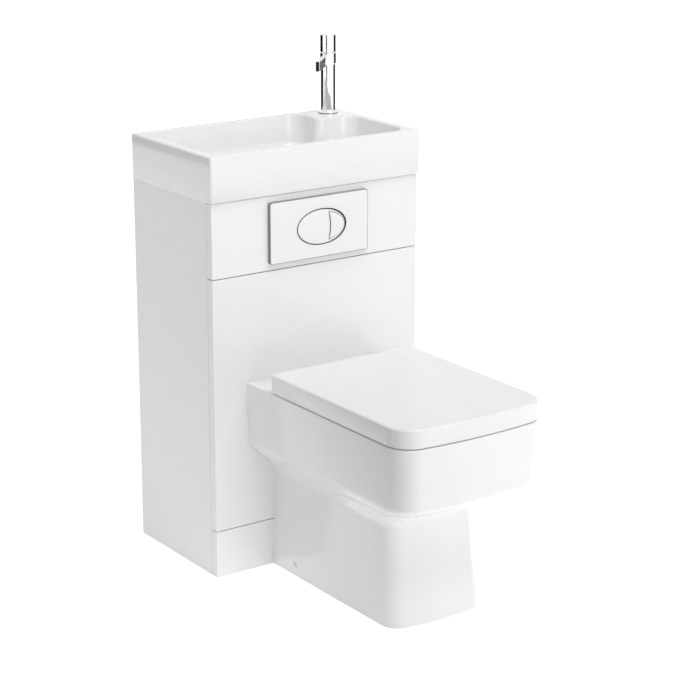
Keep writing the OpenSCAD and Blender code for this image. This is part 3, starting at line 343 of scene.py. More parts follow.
def glazed_china(name, colour):
    """Vitreous china: a deep gloss glaze with a faint roll in its surface and tiny pinholes."""
    f = Finish(name, IOR=1.52, Specular_IOR_Level=0.5, Coat_Weight=0.25, Coat_Roughness=0.04)
    cloud = f.noise(6, 3)
    roll = f.noise(28, 2)
    pits = f.noise(420, 1) ** 6
    return f.drive(Base_Color=f.tinted(cloud, colour, 0.988, 1.004),
                   Roughness=0.09 + 0.07 * f.noise(14, 3),
                   Normal=f.dent(roll + 0.05 * pits, 0.00035))


def foiled_board(name, colour):
    """Board wrapped in gloss foil: the faintest orange peel and a few long waves."""
    f = Finish(name, IOR=1.5, Coat_Weight=0.2, Coat_Roughness=0.08)
    peel = f.noise(230, 1)
    wave = f.noise(7, 1)
    return f.drive(Base_Color=f.tinted(f.noise(4, 2), colour, 0.99, 1.003),
                   Roughness=0.13 + 0.07 * f.noise(18, 3),
                   Normal=f.dent(wave + 0.03 * peel, 0.0006))


def moulded(name, colour, rough, grain, depth):
    """Moulded plastic: its tool's fine grain and slight changes of gloss."""
    f = Finish(name, IOR=1.49)
    return f.drive(Base_Color=f.tinted(f.noise(9, 3), colour, 0.975, 1.01),
                   Roughness=rough + 0.08 * f.noise(22, 4),
                   Normal=f.dent(f.noise(grain, 2), depth))


def plated(name, colour):
    """Polished plate over metal, with faint wiped streaks in its gloss."""
    f = Finish(name)
    streak = f.noise(30, 4, f.stretched(1, 1, 0.25))
    return f.drive(Base_Color=f.tinted(f.noise(40, 2), colour, 0.97, 1),
                   Metallic=1.0, Roughness=0.035 + 0.05 * streak,
                   Normal=f.dent(f.noise(60, 1), 0.00004))


def brushed(name, colour, across):
    """Brushed metal: long fine lines across one axis."""
    f = Finish(name)
    lines = f.noise(60, 5, f.stretched(*across))
    return f.drive(Base_Color=f.tinted(lines, colour, 0.86, 1.08),
                   Metallic=1.0, Roughness=0.24 + 0.2 * lines, Normal=f.dent(lines, 0.00005))


def turned_metal(name, colour):
    """Turned brass: fine tool rings up the part and a little tarnish."""
    f = Finish(name)
    rings = f.node("ShaderNodeTexWave", {"wave_type": "BANDS", "bands_direction": "Z"},
                   {"Vector": f.place, "Scale": 420.0, "Distortion": 0.4}, "Fac")
    tarnish = f.noise(60, 4)
    return f.drive(Base_Color=f.tinted(tarnish, colour, 0.72, 1), Metallic=1.0,
                   Roughness=0.2 + 0.25 * tarnish, Normal=f.dent(rings, 0.00006))


def soft_rubber(name, colour):
    """Dull black rubber with a dusty bloom."""
    f = Finish(name)
    bloom = f.noise(90, 4)
    return f.drive(Base_Color=f.tinted(bloom, colour, 1, 1.8),
                   Roughness=0.62 + 0.25 * bloom, Normal=f.dent(f.noise(700, 2), 0.00008))


def pressed_chips(name, colour):
    """Raw particle board: pressed chips of several browns, finer between."""
    f = Finish(name)
    chips = f.node("ShaderNodeTexVoronoi", None,
                   {"Vector": f.stretched(1, 2.2, 1), "Scale": 210.0}, "Color")
    tone = f.node("ShaderNodeSeparateColor", None, {0: chips})
    dust = f.noise(900, 3)
    return f.drive(Base_Color=f.tinted(0.75 * tone + 0.25 * dust, colour, 0.62, 1.12),
                   Roughness=0.75 + 0.15 * dust, Normal=f.dent(tone + 0.6 * dust, 0.00025))


def braided(name, colour):
    """Braided wire sleeve: two crossing families of strands."""
    f = Finish(name)
    strands = [f.node("ShaderNodeTexWave", {"wave_type": "BANDS", "bands_direction": "Z"},
                      {"Vector": f.stretched(1, 1, 1, (0, turn, turn)), "Scale": 260.0}, "Fac")
               for turn in (0.8, -0.8)]
    weave = strands[0] * strands[1]
    return f.drive(Base_Color=f.tinted(weave, colour, 0.4, 1.15),
                   Metallic=1.0, Roughness=0.5 - 0.2 * weave, Normal=f.dent(weave, 0.0003))


# each finish: how it is made, its name in the file, its colour in the panel and further values
RECIPES = {
    "china": (glazed_china, "glazed_china", "china"),
    "foil": (foiled_board, "foiled_board", "board"),
    "thermoset": (moulded, "seat_thermoset", "seat", 0.14, 160, 0.00004),
    "gloss_white": (moulded, "gloss_white_plastic", "plate", 0.12, 200, 0.00003),
    "pebbled": (moulded, "pebbled_white_plastic", "fittings", 0.42, 900, 0.0001),
    # painted shade: the plate band's dark grey stands in for the shade on the plate's sides
    "painted_shade_edge_grey": (moulded, "satin_grey_edge", "edge", 0.3, 500, 0.00005),
    # near-black trim: a dark joint round the oval, and on the right, where it swells, painted shade
    "dark_plate": (plated, "dark_plated_trim", "trim"),
    "grey": (moulded, "grey_plastic", "grey", 0.45, 700, 0.0001),
    "chrome": (plated, "chrome_plate", "chrome"),
    "steel": (brushed, "brushed_steel", "steel", (40, 1, 1)),
    "brass": (turned_metal, "turned_brass", "brass"),
    "rubber": (soft_rubber, "black_rubber", "rubber"),
    "chips": (pressed_chips, "raw_particle_board", "raw_board"),
    "braid": (braided, "braided_hose", "steel"),
}
MADE = {}


def finish(name):
    """The named finish, made once from the panel's colours."""
    if name not in MADE:
        make, title, key, *values = RECIPES[name]
        MADE[name] = make(title, tuple(getattr(bpy.context.scene.unit_finishes, key)), *values)
    return MADE[name]


# What a user would change


def length(name, description, default, low=0.0):
    """A length property in metres."""
    return FloatProperty(name=name, description=description, default=default, min=low,
                         unit="LENGTH", precision=4)


def colour(name, description, default):
    """A colour property in scene-linear values."""
    return FloatVectorProperty(name=name, description=description, default=default, size=3,
                               subtype="COLOR", min=0.0, max=1.0)


def level(name, description, default, **more):
    """A plain number of the light or the camera."""
    return FloatProperty(name=name, description=description, default=default, **more)


class BasinSizes(PropertyGroup):
    half_width: length("Half width", "Half the outside width of the basin", edge("basin", 1, 0))
    top: length("Top", "Height of the rim", edge("basin", 1, 2))
    foot: length("Foot", "Height of the underside", edge("basin", 0, 2))
    rim: length("Rim", "Width of the front and right rims", 0.020)
    rim_left: length("Left rim", "Width of the left rim", 0.024)
    rim_back: length("Back rim", "Width of the rim along the wall", 0.016)
    ledge_width: length("Ledge width", "Width of the tap ledge", 0.087)
    ledge_depth: length("Ledge depth", "Depth of the tap ledge", 0.078)
    corner: length("Bowl corner", "Corner radius of the bowl", 0.034)
    depth: length("Depth", "Depth of the bowl", 0.074)
    fall: length("Fall", "Fall of the floor to the waste", 0.005)


class PanSizes(PropertyGroup):
    half_width: length("Half width", "Half the width at the rim", edge("pan", 1, 0))
    height: length("Height", "Height of the rim", edge("pan", 1, 2))
    reach: length("Reach", "Reach out from the cabinet's face", FACE_Y - edge("pan", 0, 1))
    bow: length("Bow", "Swell of the front", 0.007)
    wall: length("Wall", "Thickness of the ceramic", 0.012)


class SeatSizes(PropertyGroup):
    lid_height: length("Lid height", "Height of the lid's skirt and top",
                       edge("lid", 1, 2) - edge("lid", 0, 2))
    lid_edge: length("Lid edge", "Radius of the lid's upper edge", 0.0042)
    lid_crown: length("Lid crown", "Rise of the lid's top to its middle", 0.0009)
    seat_edge: length("Seat edge", "Radius of the seat's upper edges", 0.006)


class FlushSizes(PropertyGroup):
    plate_width: length("Plate width", "Width of the flush plate", edge("flush_plate", 1, 0) * 2)
    plate_height: length("Plate height", "Height of the flush plate",
                         edge("flush_plate", 1, 2) - edge("flush_plate", 0, 2))
    oval_width: length("Oval width", "Width of the oval of the buttons", 0.118)
    oval_height: length("Oval height", "Height of the oval of the buttons", 0.074)
    trim: length("Trim", "Width of the dark trim at the left of the oval", 0.0017)
    # painted shade: the extra dark width on the right stands in for the shade in the gap there
    painted_shade_swell: length("Trim swell", "Width that the trim gains towards the right", 0.0024)
    crown: length("Crown", "Rise of the buttons to their middle", 0.0012)


class TapSizes(PropertyGroup):
    column: length("Column radius", "Radius of the column", 0.0155)
    reach: length("Reach", "Reach of the spout from the column's middle", 0.121)
    bar: length("Bar", "Width of the spout's bar", 0.009)
    turn: level("Turn", "How far the spout stands to the left of forward", math.radians(45),
                subtype="ANGLE")


class UnitFinishes(PropertyGroup):
    china: colour("China", "Glaze of the basin and pan", (0.93, 0.93, 0.932))
    board: colour("Board", "Foil of the cabinet", (0.93, 0.93, 0.932))
    seat: colour("Seat", "Seat and lid", (0.935, 0.935, 0.935))
    plate: colour("Plate", "Flush plate and buttons", (0.93, 0.93, 0.93))
    # painted shade: this dark grey stands in for the shade on the plate's left and top sides
    edge: colour("Plate edge", "Edge band of the flush plate", (0.24, 0.24, 0.245))
    # near black: a dark joint round the oval that also paints the shade in the gap where it swells to
    # the right
    trim: colour("Oval trim", "Trim round the two buttons", (0.025, 0.025, 0.027))
    fittings: colour("Fittings", "Cistern and waste fittings", (0.84, 0.84, 0.83))
    grey: colour("Grey fittings", "Levers, float and valve base", (0.30, 0.32, 0.35))
    chrome: colour("Chrome", "Tap, waste and hinge pillars", (0.86, 0.87, 0.89))
    steel: colour("Steel", "Brackets, pins and hoses", (0.58, 0.59, 0.61))
    brass: colour("Brass", "Tap stud and nut", (0.74, 0.56, 0.26))
    rubber: colour("Rubber", "Seals and seat buffers", (0.035, 0.035, 0.037))
    raw_board: colour("Raw board", "Unfaced rails and shelf", (0.60, 0.46, 0.30))
    floor: colour("Floor", "Floor of the stage", (0.93, 0.93, 0.93))


class StageLook(PropertyGroup):
    key_power: level("Key", "Power of the high light", 76.0, min=0.0, subtype="POWER")
    fill_power: level("Fill", "Power of the low light from in front", 34.0, min=0.0, subtype="POWER")
    bounce: level("Bounce", "Light that the floor gives off by itself", 0.255, min=0.0)
    glow: level("Glow", "Light of the floor where it is seen or mirrored", 0.78, min=0.0)
    sky: level("Sky", "Level of the even light from all round", 0.385, min=0.0)
    lens: level("Lens", "Focal length of the camera", 112.45, min=10.0, subtype="DISTANCE_CAMERA")
    yaw: level("Yaw", "Turn of the camera to the right of straight ahead", 0.61025, subtype="ANGLE")
    pitch: level("Pitch", "Tilt of the camera below level", 0.28874, subtype="ANGLE")


def mm(value):
    """Metres of a property as millimetres."""
    return value * 1000


# Basin

BASIN_FRONT, WALL_Y = edge_mm("basin", 0, 1), edge_mm("basin", 1, 1)
OUTER_CORNER = 5  # radius of the basin's upright outer corners
COVE, SLOPE, LIP = 26, 7, 3  # foot radius of the bowl's walls, their slope inwards, the rim's radius
LEDGE_CORNER = 14  # radius of the hollow corner beside the tap ledge
WASTE_AT, WASTE_BORE, WASTE_SEAT = np.array([0.0, 218.0]), 22, 34
BASIN_CORNER, BASIN_LEG = 9, 9  # points in a corner and along most straight legs


def front_corners(r, x0, x1, y0):
    """The front of an outline with both its corners."""
    return (arc(x0 + r, y0 + r, r, 180, 270, BASIN_CORNER), run((x0 + r, y0), (x1 - r, y0), 12),
            arc(x1 - r, y0 + r, r, 270, 360, BASIN_CORNER))


def left_side(r, x0, y0, y1):
    """The rear left corner of an outline and its left side."""
    return (arc(x0 + r, y1 - r, r, 90, 180, BASIN_CORNER),
            run((x0, y1 - r), (x0, y0 + r), BASIN_LEG))


def basin_outside(inset, r, x0, x1, y0, y1, round_ledge):
    """Rounded rectangle with as many points as the bowl's outline, leg by leg. The legs about the
    tap ledge lie along the right side and, where the outline goes round the ledge, along the back."""
    x0, x1, y0, y1 = x0 + inset, x1 - inset, y0 + inset, y1 - inset
    corner = arc(x1 - r, y1 - r, r, 0, 90, BASIN_CORNER)
    up = [(x1, y0 + r)] + [(x1, y0 + (y1 - y0) * share) for share in (0.55, 0.68, 0.82, 0.9)]
    if round_ledge:
        up, counts = up[:3] + [(x1, y1 - r)], (BASIN_LEG, BASIN_LEG, 5)
        along = [(x1 - r, y1), (x1 - 55, y1), (x1 - 130, y1), (x0 + r, y1)]
    else:
        up, counts = up + [(x1, y1 - r)], (BASIN_LEG, BASIN_LEG, 5, BASIN_LEG, 5)
        along = [(x1 - r, y1), (x0 + r, y1)]
    legs = [run(p, q, n) for p, q, n in zip(up, up[1:], counts)] + [corner]
    counts = (5, BASIN_LEG, 10)[1 - len(along):]
    legs += [run(p, q, n) for p, q, n in zip(along, along[1:], counts)]
    return np.concatenate([*front_corners(r, x0, x1, y0), *legs, *left_side(r, x0, y0, y1)])


def bowl_outline(s, inset, r):
    """Rectangle that leaves the tap ledge in its rear right corner, with rounded corners and a
    hollow one at the ledge, all drawn in by the inset."""
    half = mm(s.half_width)
    x0, x1 = -half + mm(s.rim_left) + inset, half - mm(s.rim) - inset
    y0, y1 = BASIN_FRONT + mm(s.rim) + inset, WALL_Y - mm(s.rim_back) - inset
    lx, ly = half - mm(s.rim) - mm(s.ledge_width) - inset, y1 - mm(s.ledge_depth)
    rc = LEDGE_CORNER + inset / 2
    return np.concatenate([
        *front_corners(r, x0, x1, y0), run((x1, y0 + r), (x1, ly - r), BASIN_LEG),
        arc(x1 - r, ly - r, r, 0, 90, BASIN_CORNER), run((x1 - r, ly), (lx + rc, ly), 5),
        arc(lx + rc, ly + rc, rc, 270, 180, BASIN_CORNER), run((lx, ly + rc), (lx, y1 - r), 5),
        arc(lx - r, y1 - r, r, 0, 90, BASIN_CORNER), run((lx - r, y1), (x0 + r, y1), 10),
        *left_side(r, x0, y0, y1)])


def basin_shell(s):
    """One closed skin: up the outside, over the eased rim, down the coved bowl, along the floor
    that falls to the waste, and back through the waste's bore."""
    half, top, foot = mm(s.half_width), mm(s.top), mm(s.foot)
    floor, corner = top - mm(s.depth), mm(s.corner)

    def outside(inset, z):
        return lifted(basin_outside(inset, OUTER_CORNER, -half, half, BASIN_FRONT, WALL_Y, True), z)

    front, back = BASIN_FRONT + mm(s.rim) + SLOPE + COVE, WALL_Y - mm(s.rim_back) - SLOPE - COVE

    def fallen(outline, z):
        share = np.clip((back - outline[:, 1]) / (back - front), 0, 1)
        return lifted(outline, z + mm(s.fall) * share)

    rings = [outside(1.2, foot), outside(0.4, foot + 0.4), outside(0, foot + 1.2)]
    rings.append(outside(0, top - LIP))
    rings += [outside(drawn(LIP, a), top - sunk(LIP, a)) for a in QUARTER[1:]]
    rings += [lifted(bowl_outline(s, -sunk(LIP, a), corner), top - drawn(LIP, a)) for a in QUARTER]
    wall_top, fall = top - LIP, floor + COVE - top + LIP + mm(s.fall) / 2
    rings += [lifted(bowl_outline(s, SLOPE * t, corner), wall_top + fall * t) for t in (0.05, 0.5)]
    rings += [fallen(bowl_outline(s, SLOPE + drawn(COVE, a), corner + 2), floor + sunk(COVE, a))
              for a in np.radians(np.linspace(0, 90, 11))]
    x0, x1 = -half + mm(s.rim_left), half - mm(s.rim) - mm(s.ledge_width)
    plain = basin_outside(SLOPE + COVE, corner + 2, x0, x1, BASIN_FRONT + mm(s.rim),
                          WALL_Y - mm(s.rim_back), False)
    rings.append(fallen(plain, floor))
    from_waste = plain - WASTE_AT
    circle = from_waste / np.linalg.norm(from_waste, axis=1, keepdims=True)
    rings.append(fallen(0.45 * plain + 0.55 * (WASTE_AT + (WASTE_SEAT + 2) * circle), floor))
    rings.append(fallen(WASTE_AT + (WASTE_SEAT + 1.2) * circle, floor))
    rings.append(fallen(WASTE_AT + (WASTE_SEAT + 0.4) * circle, floor - 0.3))
    rings += [lifted(WASTE_AT + r * circle, z) for r, z in (
        (WASTE_SEAT, floor - 1), (WASTE_SEAT, floor - 3), (WASTE_BORE, floor - 3), (WASTE_BORE, foot))]
    return skin(rings, wrap=True)


class UNIT_OT_basin(Operator):
    """Make the basin"""
    bl_idname = "unit.basin"
    bl_label = "Basin"

    def execute(self, context):
        make_piece("basin_china", basin_shell(context.scene.unit_basin), "unit",
                   finish("china"), ("basin",))
        return {"FINISHED"}


# Pan

BOWL_Y = -290  # middle of the bowl
WINDOW = 84  # half width of the opening in the back of the pan's wall
SIDE_STEPS, CORNER_STEPS, FRONT_STEPS, WINDOW_STEPS = 22, 14, 20, 10
# the pedestal's half widths and reaches from the floor to its neck, and the band's lean upwards
NECK_Z, BAND_Z, RIM_Z = 201, 288, 404
FOOT_LEVELS = [0, NECK_Z / 2, NECK_Z]
FOOT_HALVES, FOOT_REACHES = [114, 110.75, 108.5], [427, 411.5, 402]
LEAN_LEVELS, LEANS = [BAND_Z, 347, RIM_Z], [0, 2.5, 4]
RIM_ROUND, MOUTH_ROUND = 2.6, 4  # radii of the rim's outer edge and of the bowl's mouth
BACK_SHARE = 0.4  # how much of its rounding the rim keeps along the cabinet
SLAB, EASE = 14, 0.4  # depth of the rim's slab, and the easing of the foot's edges
HOLLOW_BACK = -14  # where the hollow behind the pan's back wall begins
SPIGOT_BORE, SPIGOT_OUTER, SPIGOT_Z, SPIGOT_END = 36, 51, 185, 62
BOWL_WALL = 10


def round_front(w, front, r, bow):
    """Front of the pan, seat or lid from above with its corners, which stop two degrees short of
    straight ahead: it swells out as 1 - t squared."""
    t = np.linspace(-1, 1, FRONT_STEPS, endpoint=False)
    return (arc(-w + r, -front + r, r, 180, 268, CORNER_STEPS),
            np.stack([t * (w - r), -front - bow * (1 - t * t)], -1),
            arc(w - r, -front + r, r, 272, 360, CORNER_STEPS))


def pan_outline(w, reach, r, bow, back):
    """Pan from above, from the rear left corner: side, front, side and the flat back."""
    fy = reach - bow
    return np.concatenate([
        run((-w, back), (-w, -fy + r), SIDE_STEPS), *round_front(w, fy, r, bow),
        run((w, -fy + r), (w, back), SIDE_STEPS),
        run((w, back), (WINDOW, back), 3), run((WINDOW, back), (-WINDOW, back), WINDOW_STEPS),
        run((-WINDOW, back), (-w, back), 3)])


def pan_ring(s, z, inset=0.0, back=0.0):
    """Outline at a height: a pedestal that draws in, a cosine flare from the neck to the band and a
    rim band that leans out a little."""
    flare = (1 - math.cos(math.pi * min(1, max(0, (z - NECK_Z) / (BAND_Z - NECK_Z))))) / 2
    lean = np.interp(z, LEAN_LEVELS, LEANS)
    w, reach = (np.interp(z, FOOT_LEVELS, sizes) + (rim - sizes[-1] - LEANS[-1]) * flare + lean
                for sizes, rim in ((FOOT_HALVES, mm(s.half_width)), (FOOT_REACHES, mm(s.reach))))
    corner = 38 + 14 * flare - inset / 2
    return lifted(pan_outline(w - inset, reach - inset, corner, mm(s.bow), back), z)


# the bowl's height, half width, half length and shift forward at each level
BOWL_LEVELS = np.array([
    [150, 35, 39, 0], [180, 41, 50, 1], [215, 50, 62, 2], [250, 63, 82, 3], [285, 80, 108, 3],
    [320, 97, 132, 2], [361, 109, 147, 0], [398, 116, 155, 0]], float)


def bowl_ring(z, grow, angles):
    """Superellipse of the bowl at a height: cosine and sine raised to 0.92, with their signs."""
    w, l, shift = (smooth(z, BOWL_LEVELS[:, 0], BOWL_LEVELS[:, k]) for k in (1, 2, 3))
    c, q = np.cos(angles), np.sin(angles)
    x = (w + grow) * np.sign(c) * abs(c) ** 0.92
    y = BOWL_Y + shift + (l + grow) * np.sign(q) * abs(q) ** 0.92
    return np.stack([x, y, np.full(len(angles), z)], -1)


def way_path():
    """Middle of the trap's way as rows of y, z, heading and bore: an elbow under the bowl, two
    equal bends up to the weir, two down to the outlet, and straight out through the spigot."""
    elbow, foot, weir, outlet = 42, (-248.0, 108.0), (-140.0, 238.0), (-50.0, float(SPIGOT_Z))
    narrow, bowl_foot = 28, BOWL_LEVELS[0, 0]
    a = np.radians(np.linspace(12, 90, 8))
    rows = [np.stack([BOWL_Y + elbow * (1 - np.cos(a)), bowl_foot - elbow * np.sin(a), a - np.pi / 2,
                      np.interp(a, [0, np.pi / 2], [SPIGOT_BORE, narrow])], -1)]
    for p, q, bores in ((foot, weir, (narrow, narrow)), (weir, outlet, (narrow, SPIGOT_BORE))):
        turn = 2 * math.atan2(q[1] - p[1], q[0] - p[0])
        bend = (q[0] - p[0]) / (2 * math.sin(turn))
        h = np.linspace(0, turn, 9)[1:]
        up = np.stack([p[0] + bend * np.sin(h), p[1] + bend * (1 - np.cos(h)), h], -1)
        down = np.stack([q[0] - bend * np.sin(h), q[1] - bend * (1 - np.cos(h)), h], -1)[::-1][1:]
        legs = np.vstack([up, down, [[q[0], q[1], 0.0]]])
        rows.append(np.column_stack([legs, np.linspace(*bores, len(legs))]))
    rows.append(np.array([[SPIGOT_END, SPIGOT_Z, 0.0, SPIGOT_BORE]]))
    return np.vstack(rows)


def way_ring(y, z, heading, r, angles):
    """Circle square to the way: cosine across, and sine along the heading turned a quarter."""
    q = r * np.sin(angles)
    return np.stack([r * np.cos(angles), y - q * math.sin(heading), z + q * math.cos(heading)], -1)


def pan_shell(s):
    """One closed skin: up the outside, over the rim, down the bowl, through the trap to the spigot,
    back along the outside of the trap and bowl, and down the hollow inside the walls."""
    height, wall = mm(s.height), mm(s.wall)
    rim = pan_ring(s, RIM_Z)
    from_bowl = rim[:, :2] - [0, BOWL_Y]
    angles = np.arctan2(from_bowl[:, 1] / 157, from_bowl[:, 0] / 118)
    levels = [EASE, 1.2, 50, NECK_Z / 2, 150, 190, NECK_Z, *np.linspace(NECK_Z, BAND_Z, 19)[1:],
              320, 347]
    window_top = 374
    inner = [pan_ring(s, z, wall, HOLLOW_BACK) for z in (height - SLAB, window_top, *levels[::-1])]
    inner.append(pan_ring(s, 0, wall + 0.5, HOLLOW_BACK))
    outer = [pan_ring(s, 0, 1.0, -EASE)] + [pan_ring(s, z, EASE if z < 1 else 0) for z in levels]
    outer += [pan_ring(s, window_top), pan_ring(s, height - RIM_ROUND)]
    for a in QUARTER[1:]:
        inset = drawn(RIM_ROUND, a)
        outline = pan_ring(s, RIM_Z, inset, -BACK_SHARE * inset)[:, :2]
        outer.append(lifted(outline, height - sunk(RIM_ROUND, a)))
    bowl = [lifted(bowl_ring(398, sunk(MOUTH_ROUND, a), angles)[:, :2],
                   height - drawn(MOUTH_ROUND, a)) for a in QUARTER]
    heights = np.linspace(396, BOWL_LEVELS[0, 0], 26)
    bowl += [bowl_ring(z, 0, angles) for z in heights]
    path = way_path()
    way = [way_ring(y, z, h, r, angles) for y, z, h, r in path]
    sleeve = [way_ring(y, z, h, r + BOWL_WALL, angles) for y, z, h, r in path[:-1]]
    spigot = [way_ring(y, SPIGOT_Z, 0, r, angles) for y, r in (
        (SPIGOT_END, SPIGOT_BORE + 1), (SPIGOT_END, SPIGOT_OUTER - 1), (SPIGOT_END - 1, SPIGOT_OUTER),
        (-44, SPIGOT_OUTER))]
    under = [bowl_ring(z, BOWL_WALL, angles) for z in heights[::-1] if z <= height - 20]
    under.append(lifted(under[-1][:, :2], height - SLAB))
    rings = inner + outer + bowl + way + spigot + sleeve[::-1] + under
    shell = skin(rings, wrap=True)
    width = len(angles)
    start = 2 * (SIDE_STEPS + CORNER_STEPS) + FRONT_STEPS + 3
    shell = windowed(shell, width, len(inner) - 1, len(inner) - 2, (start, start + WINDOW_STEPS))
    socket = [(19.9, 160), (34.4, 160), (35, 159.4), (35, 0.6), (34.4, 0), (28, 0), (27.5, 0.5),
              (27.5, 42), (20, 42)]
    inlet_z = 335
    return together(shell, turned(socket[::-1], 0, inlet_z, 48, fronted, wrap=True))


class UNIT_OT_pan(Operator):
    """Make the pan with its bowl, trap, spigot and inlet"""
    bl_idname = "unit.pan"
    bl_label = "Pan"

    def execute(self, context):
        make_piece("pan_china", pan_shell(context.scene.unit_pan), "unit",
                   finish("china"), ("pan", "bowl_and_trap"))
        return {"FINISHED"}


# Seat and lid

LID_HALF, LID_REACH, LID_BACK, SEAT_BACK = 173.5, 526.0, -87.0, -99.0
HINGE_Y, HINGE_Z = -68.0, 424.0
NOTCH = (48, 64)
NOTCH_STEPS, REAR_STEPS = 3, 6
PIN_R, KNUCKLE_R = 4.2, 9
LID_LOW, SEAT_LOW, SEAT_HIGH = 408.5, 409.5, 425.5
SEAT_INSET = 6.5  # how far the seat stays inside the lid's outline
SEAT_HALF, SEAT_LENGTH, SEAT_MIDDLE = 106, 148, BOWL_Y - 6  # the seat's opening
MOUTH_R = 8  # radius of the opening's upper edge


def lid_outline(inset, r, back, rear_r):
    """Lid or seat from above: small rear corners, straight sides, front corners and a swelled
    front, with points at the two notches for the hinge arms."""
    w, fy = LID_HALF - inset, LID_REACH - inset
    near, wide = NOTCH
    return np.concatenate([
        arc(-w + rear_r, back - rear_r, rear_r, 90, 180, REAR_STEPS),
        run((-w, back - rear_r), (-w, -fy + r), SIDE_STEPS),
        *round_front(w, fy, r, 7), run((w, -fy + r), (w, back - rear_r), SIDE_STEPS),
        arc(w - rear_r, back - rear_r, rear_r, 0, 90, REAR_STEPS),
        run((w - rear_r, back), (wide, back), 4), run((wide, back), (near, back), NOTCH_STEPS),
        run((near, back), (-near, back), 8), run((-near, back), (-wide, back), NOTCH_STEPS),
        run((-wide, back), (-w + rear_r, back), 4)])


def knuckle(x0, x1, arm_back, arm_z0, arm_z1):
    """Hinge knuckle between two planes across: a sleeve round the pin and the arm that carries it."""
    circle, bevel, overlap = unit_circle(40), 0.6, 4

    def at(x, r):
        return np.column_stack([np.full(len(circle), x), np.array([HINGE_Y, HINGE_Z]) + r * circle])

    sleeve = skin([at(x0, PIN_R), at(x0, KNUCKLE_R - bevel), at(x0 + bevel, KNUCKLE_R),
                   at(x1 - bevel, KNUCKLE_R), at(x1, KNUCKLE_R - bevel), at(x1, PIN_R)], wrap=True)
    end, mid = abs(arm_back - HINGE_Y) - overlap, (arm_z0 + arm_z1) / 2
    section = box_outline(x1 - x0, arm_z1 - arm_z0, 1.2, 2, 4)
    arm = swept(section, ((x0 + x1) / 2, HINGE_Y - overlap, mid), (0, -1),
                [(0, bevel), (bevel, 0), (end, 0), (end + bevel, bevel)])
    return together(sleeve, arm)


def lid_shell(s):
    """Closed cover: from the middle of its underside out, down inside the skirt, round the lower
    edge, up the outside, over the rounded edge and across a top that rises slightly."""
    low, high = LID_LOW, LID_LOW + mm(s.lid_height)
    edge_r, crown = mm(s.lid_edge), mm(s.lid_crown)

    def ring(inset, r, rear_r, z):
        return lifted(lid_outline(inset, r, LID_BACK - inset, rear_r), z)

    notch_top = high - 6
    inner = [ring(7.5, 48, 4, high - 3.5), ring(5.2, 49, 5, high - 4.2), ring(4, 49, 5, notch_top),
             ring(4, 49, 5, low + 0.8), ring(4.5, 48.5, 5, low)]
    outer = [ring(0.6, 52, 7.5, low), ring(0, 52, 8, low + 0.8), ring(0, 52, 8, notch_top)]
    rounding = [ring(drawn(edge_r, a), 52, 8, high - crown - sunk(edge_r, a))
                for a in np.radians(np.linspace(10, 90, 10))]
    tops = [ring(edge_r + d, 46, 8 + d / 9, high - crown * (1 - d / 70) ** 2)
            for d in (12, 28, 46, 62)]
    shell = skin(inner + outer + rounding + tops)
    first = 2 * (REAR_STEPS + SIDE_STEPS + CORNER_STEPS) + FRONT_STEPS + 4
    for c in (first, first + NOTCH_STEPS + 8):
        shell = windowed(shell, len(inner[0]), len(inner) - 1, 2, (c, c + NOTCH_STEPS))
    arm = knuckle(93, 105, -88, 419, 433)
    return together(shell, arm, mirrored(arm))


def seat_hole(grow, angles):
    """Opening of the seat, an egg that is blunter at the back: x is the cosine raised to 0.8
    behind and 0.95 in front, y the sine."""
    c, q = np.cos(angles), np.sin(angles)
    x = (SEAT_HALF + grow) * np.sign(c) * abs(c) ** np.where(q > 0, 0.8, 0.95)
    return np.stack([x, SEAT_MIDDLE + (SEAT_LENGTH + grow) * q], -1)


def seat_shell(s):
    """Closed ring: up the outside, over both rounded edges with a slight dish between, down the
    opening and along the underside."""
    low, high, r = SEAT_LOW, SEAT_HIGH, mm(s.seat_edge)
    plan = lid_outline(SEAT_INSET, 48, SEAT_BACK, 5) - [0, SEAT_MIDDLE]
    angles = np.arctan2(plan[:, 1] / SEAT_LENGTH, plan[:, 0] / SEAT_HALF)

    def ring(inset, z):
        return lifted(lid_outline(SEAT_INSET + inset, 48 - inset / 2, SEAT_BACK - inset, 5), z)

    def hole(grow, z):
        return lifted(seat_hole(grow, angles), z)

    rings = [ring(2, low), ring(0.6, low + 0.6), ring(0, low + 2), ring(0, high - r)]
    rings += [ring(drawn(r, a), high - sunk(r, a)) for a in QUARTER[1:]]
    outer_top, hole_top = ring(r, high), hole(MOUTH_R, high)
    for t in (0.25, 0.5, 0.75):
        mid = (1 - t) * outer_top + t * hole_top
        mid[:, 2] = high - 0.5 * math.sin(math.pi * t)
        rings.append(mid)
    rings += [hole(sunk(MOUTH_R, a), high - drawn(MOUTH_R, a)) for a in QUARTER]
    rings += [hole(0, low + 1.5), hole(0.6, low + 0.5), hole(2, low)]
    arm = knuckle(50, 62, -101, 415, 422)
    return together(skin(rings, wrap=True), arm, mirrored(arm))


class UNIT_OT_seat(Operator):
    """Make the seat and its lid"""
    bl_idname = "unit.seat"
    bl_label = "Seat and lid"

    def execute(self, context):
        s = context.scene.unit_seat
        glossy = finish("thermoset")
        make_piece("seat_cover_lid", lid_shell(s), "lid", glossy, ("lid",))
        make_piece("seat_moulding", seat_shell(s), "seat", glossy, ("seat_ring",))
        return {"FINISHED"}


# Flush plate and buttons

PLATE_FRONT, OVAL_X = -9.0, 3.5  # depth of the plate's face, and the oval's middle
PLATE_CORNER, PLATE_SIDE, PLATE_ARC = 5, 28, 8  # corner radius, points on a side and on a corner
BUTTON_BACK = -4.2
HALF_MIDDLE, HALF_SHIFT = 34.0, 4.0  # where the half button's rays start, and its ellipse's shift
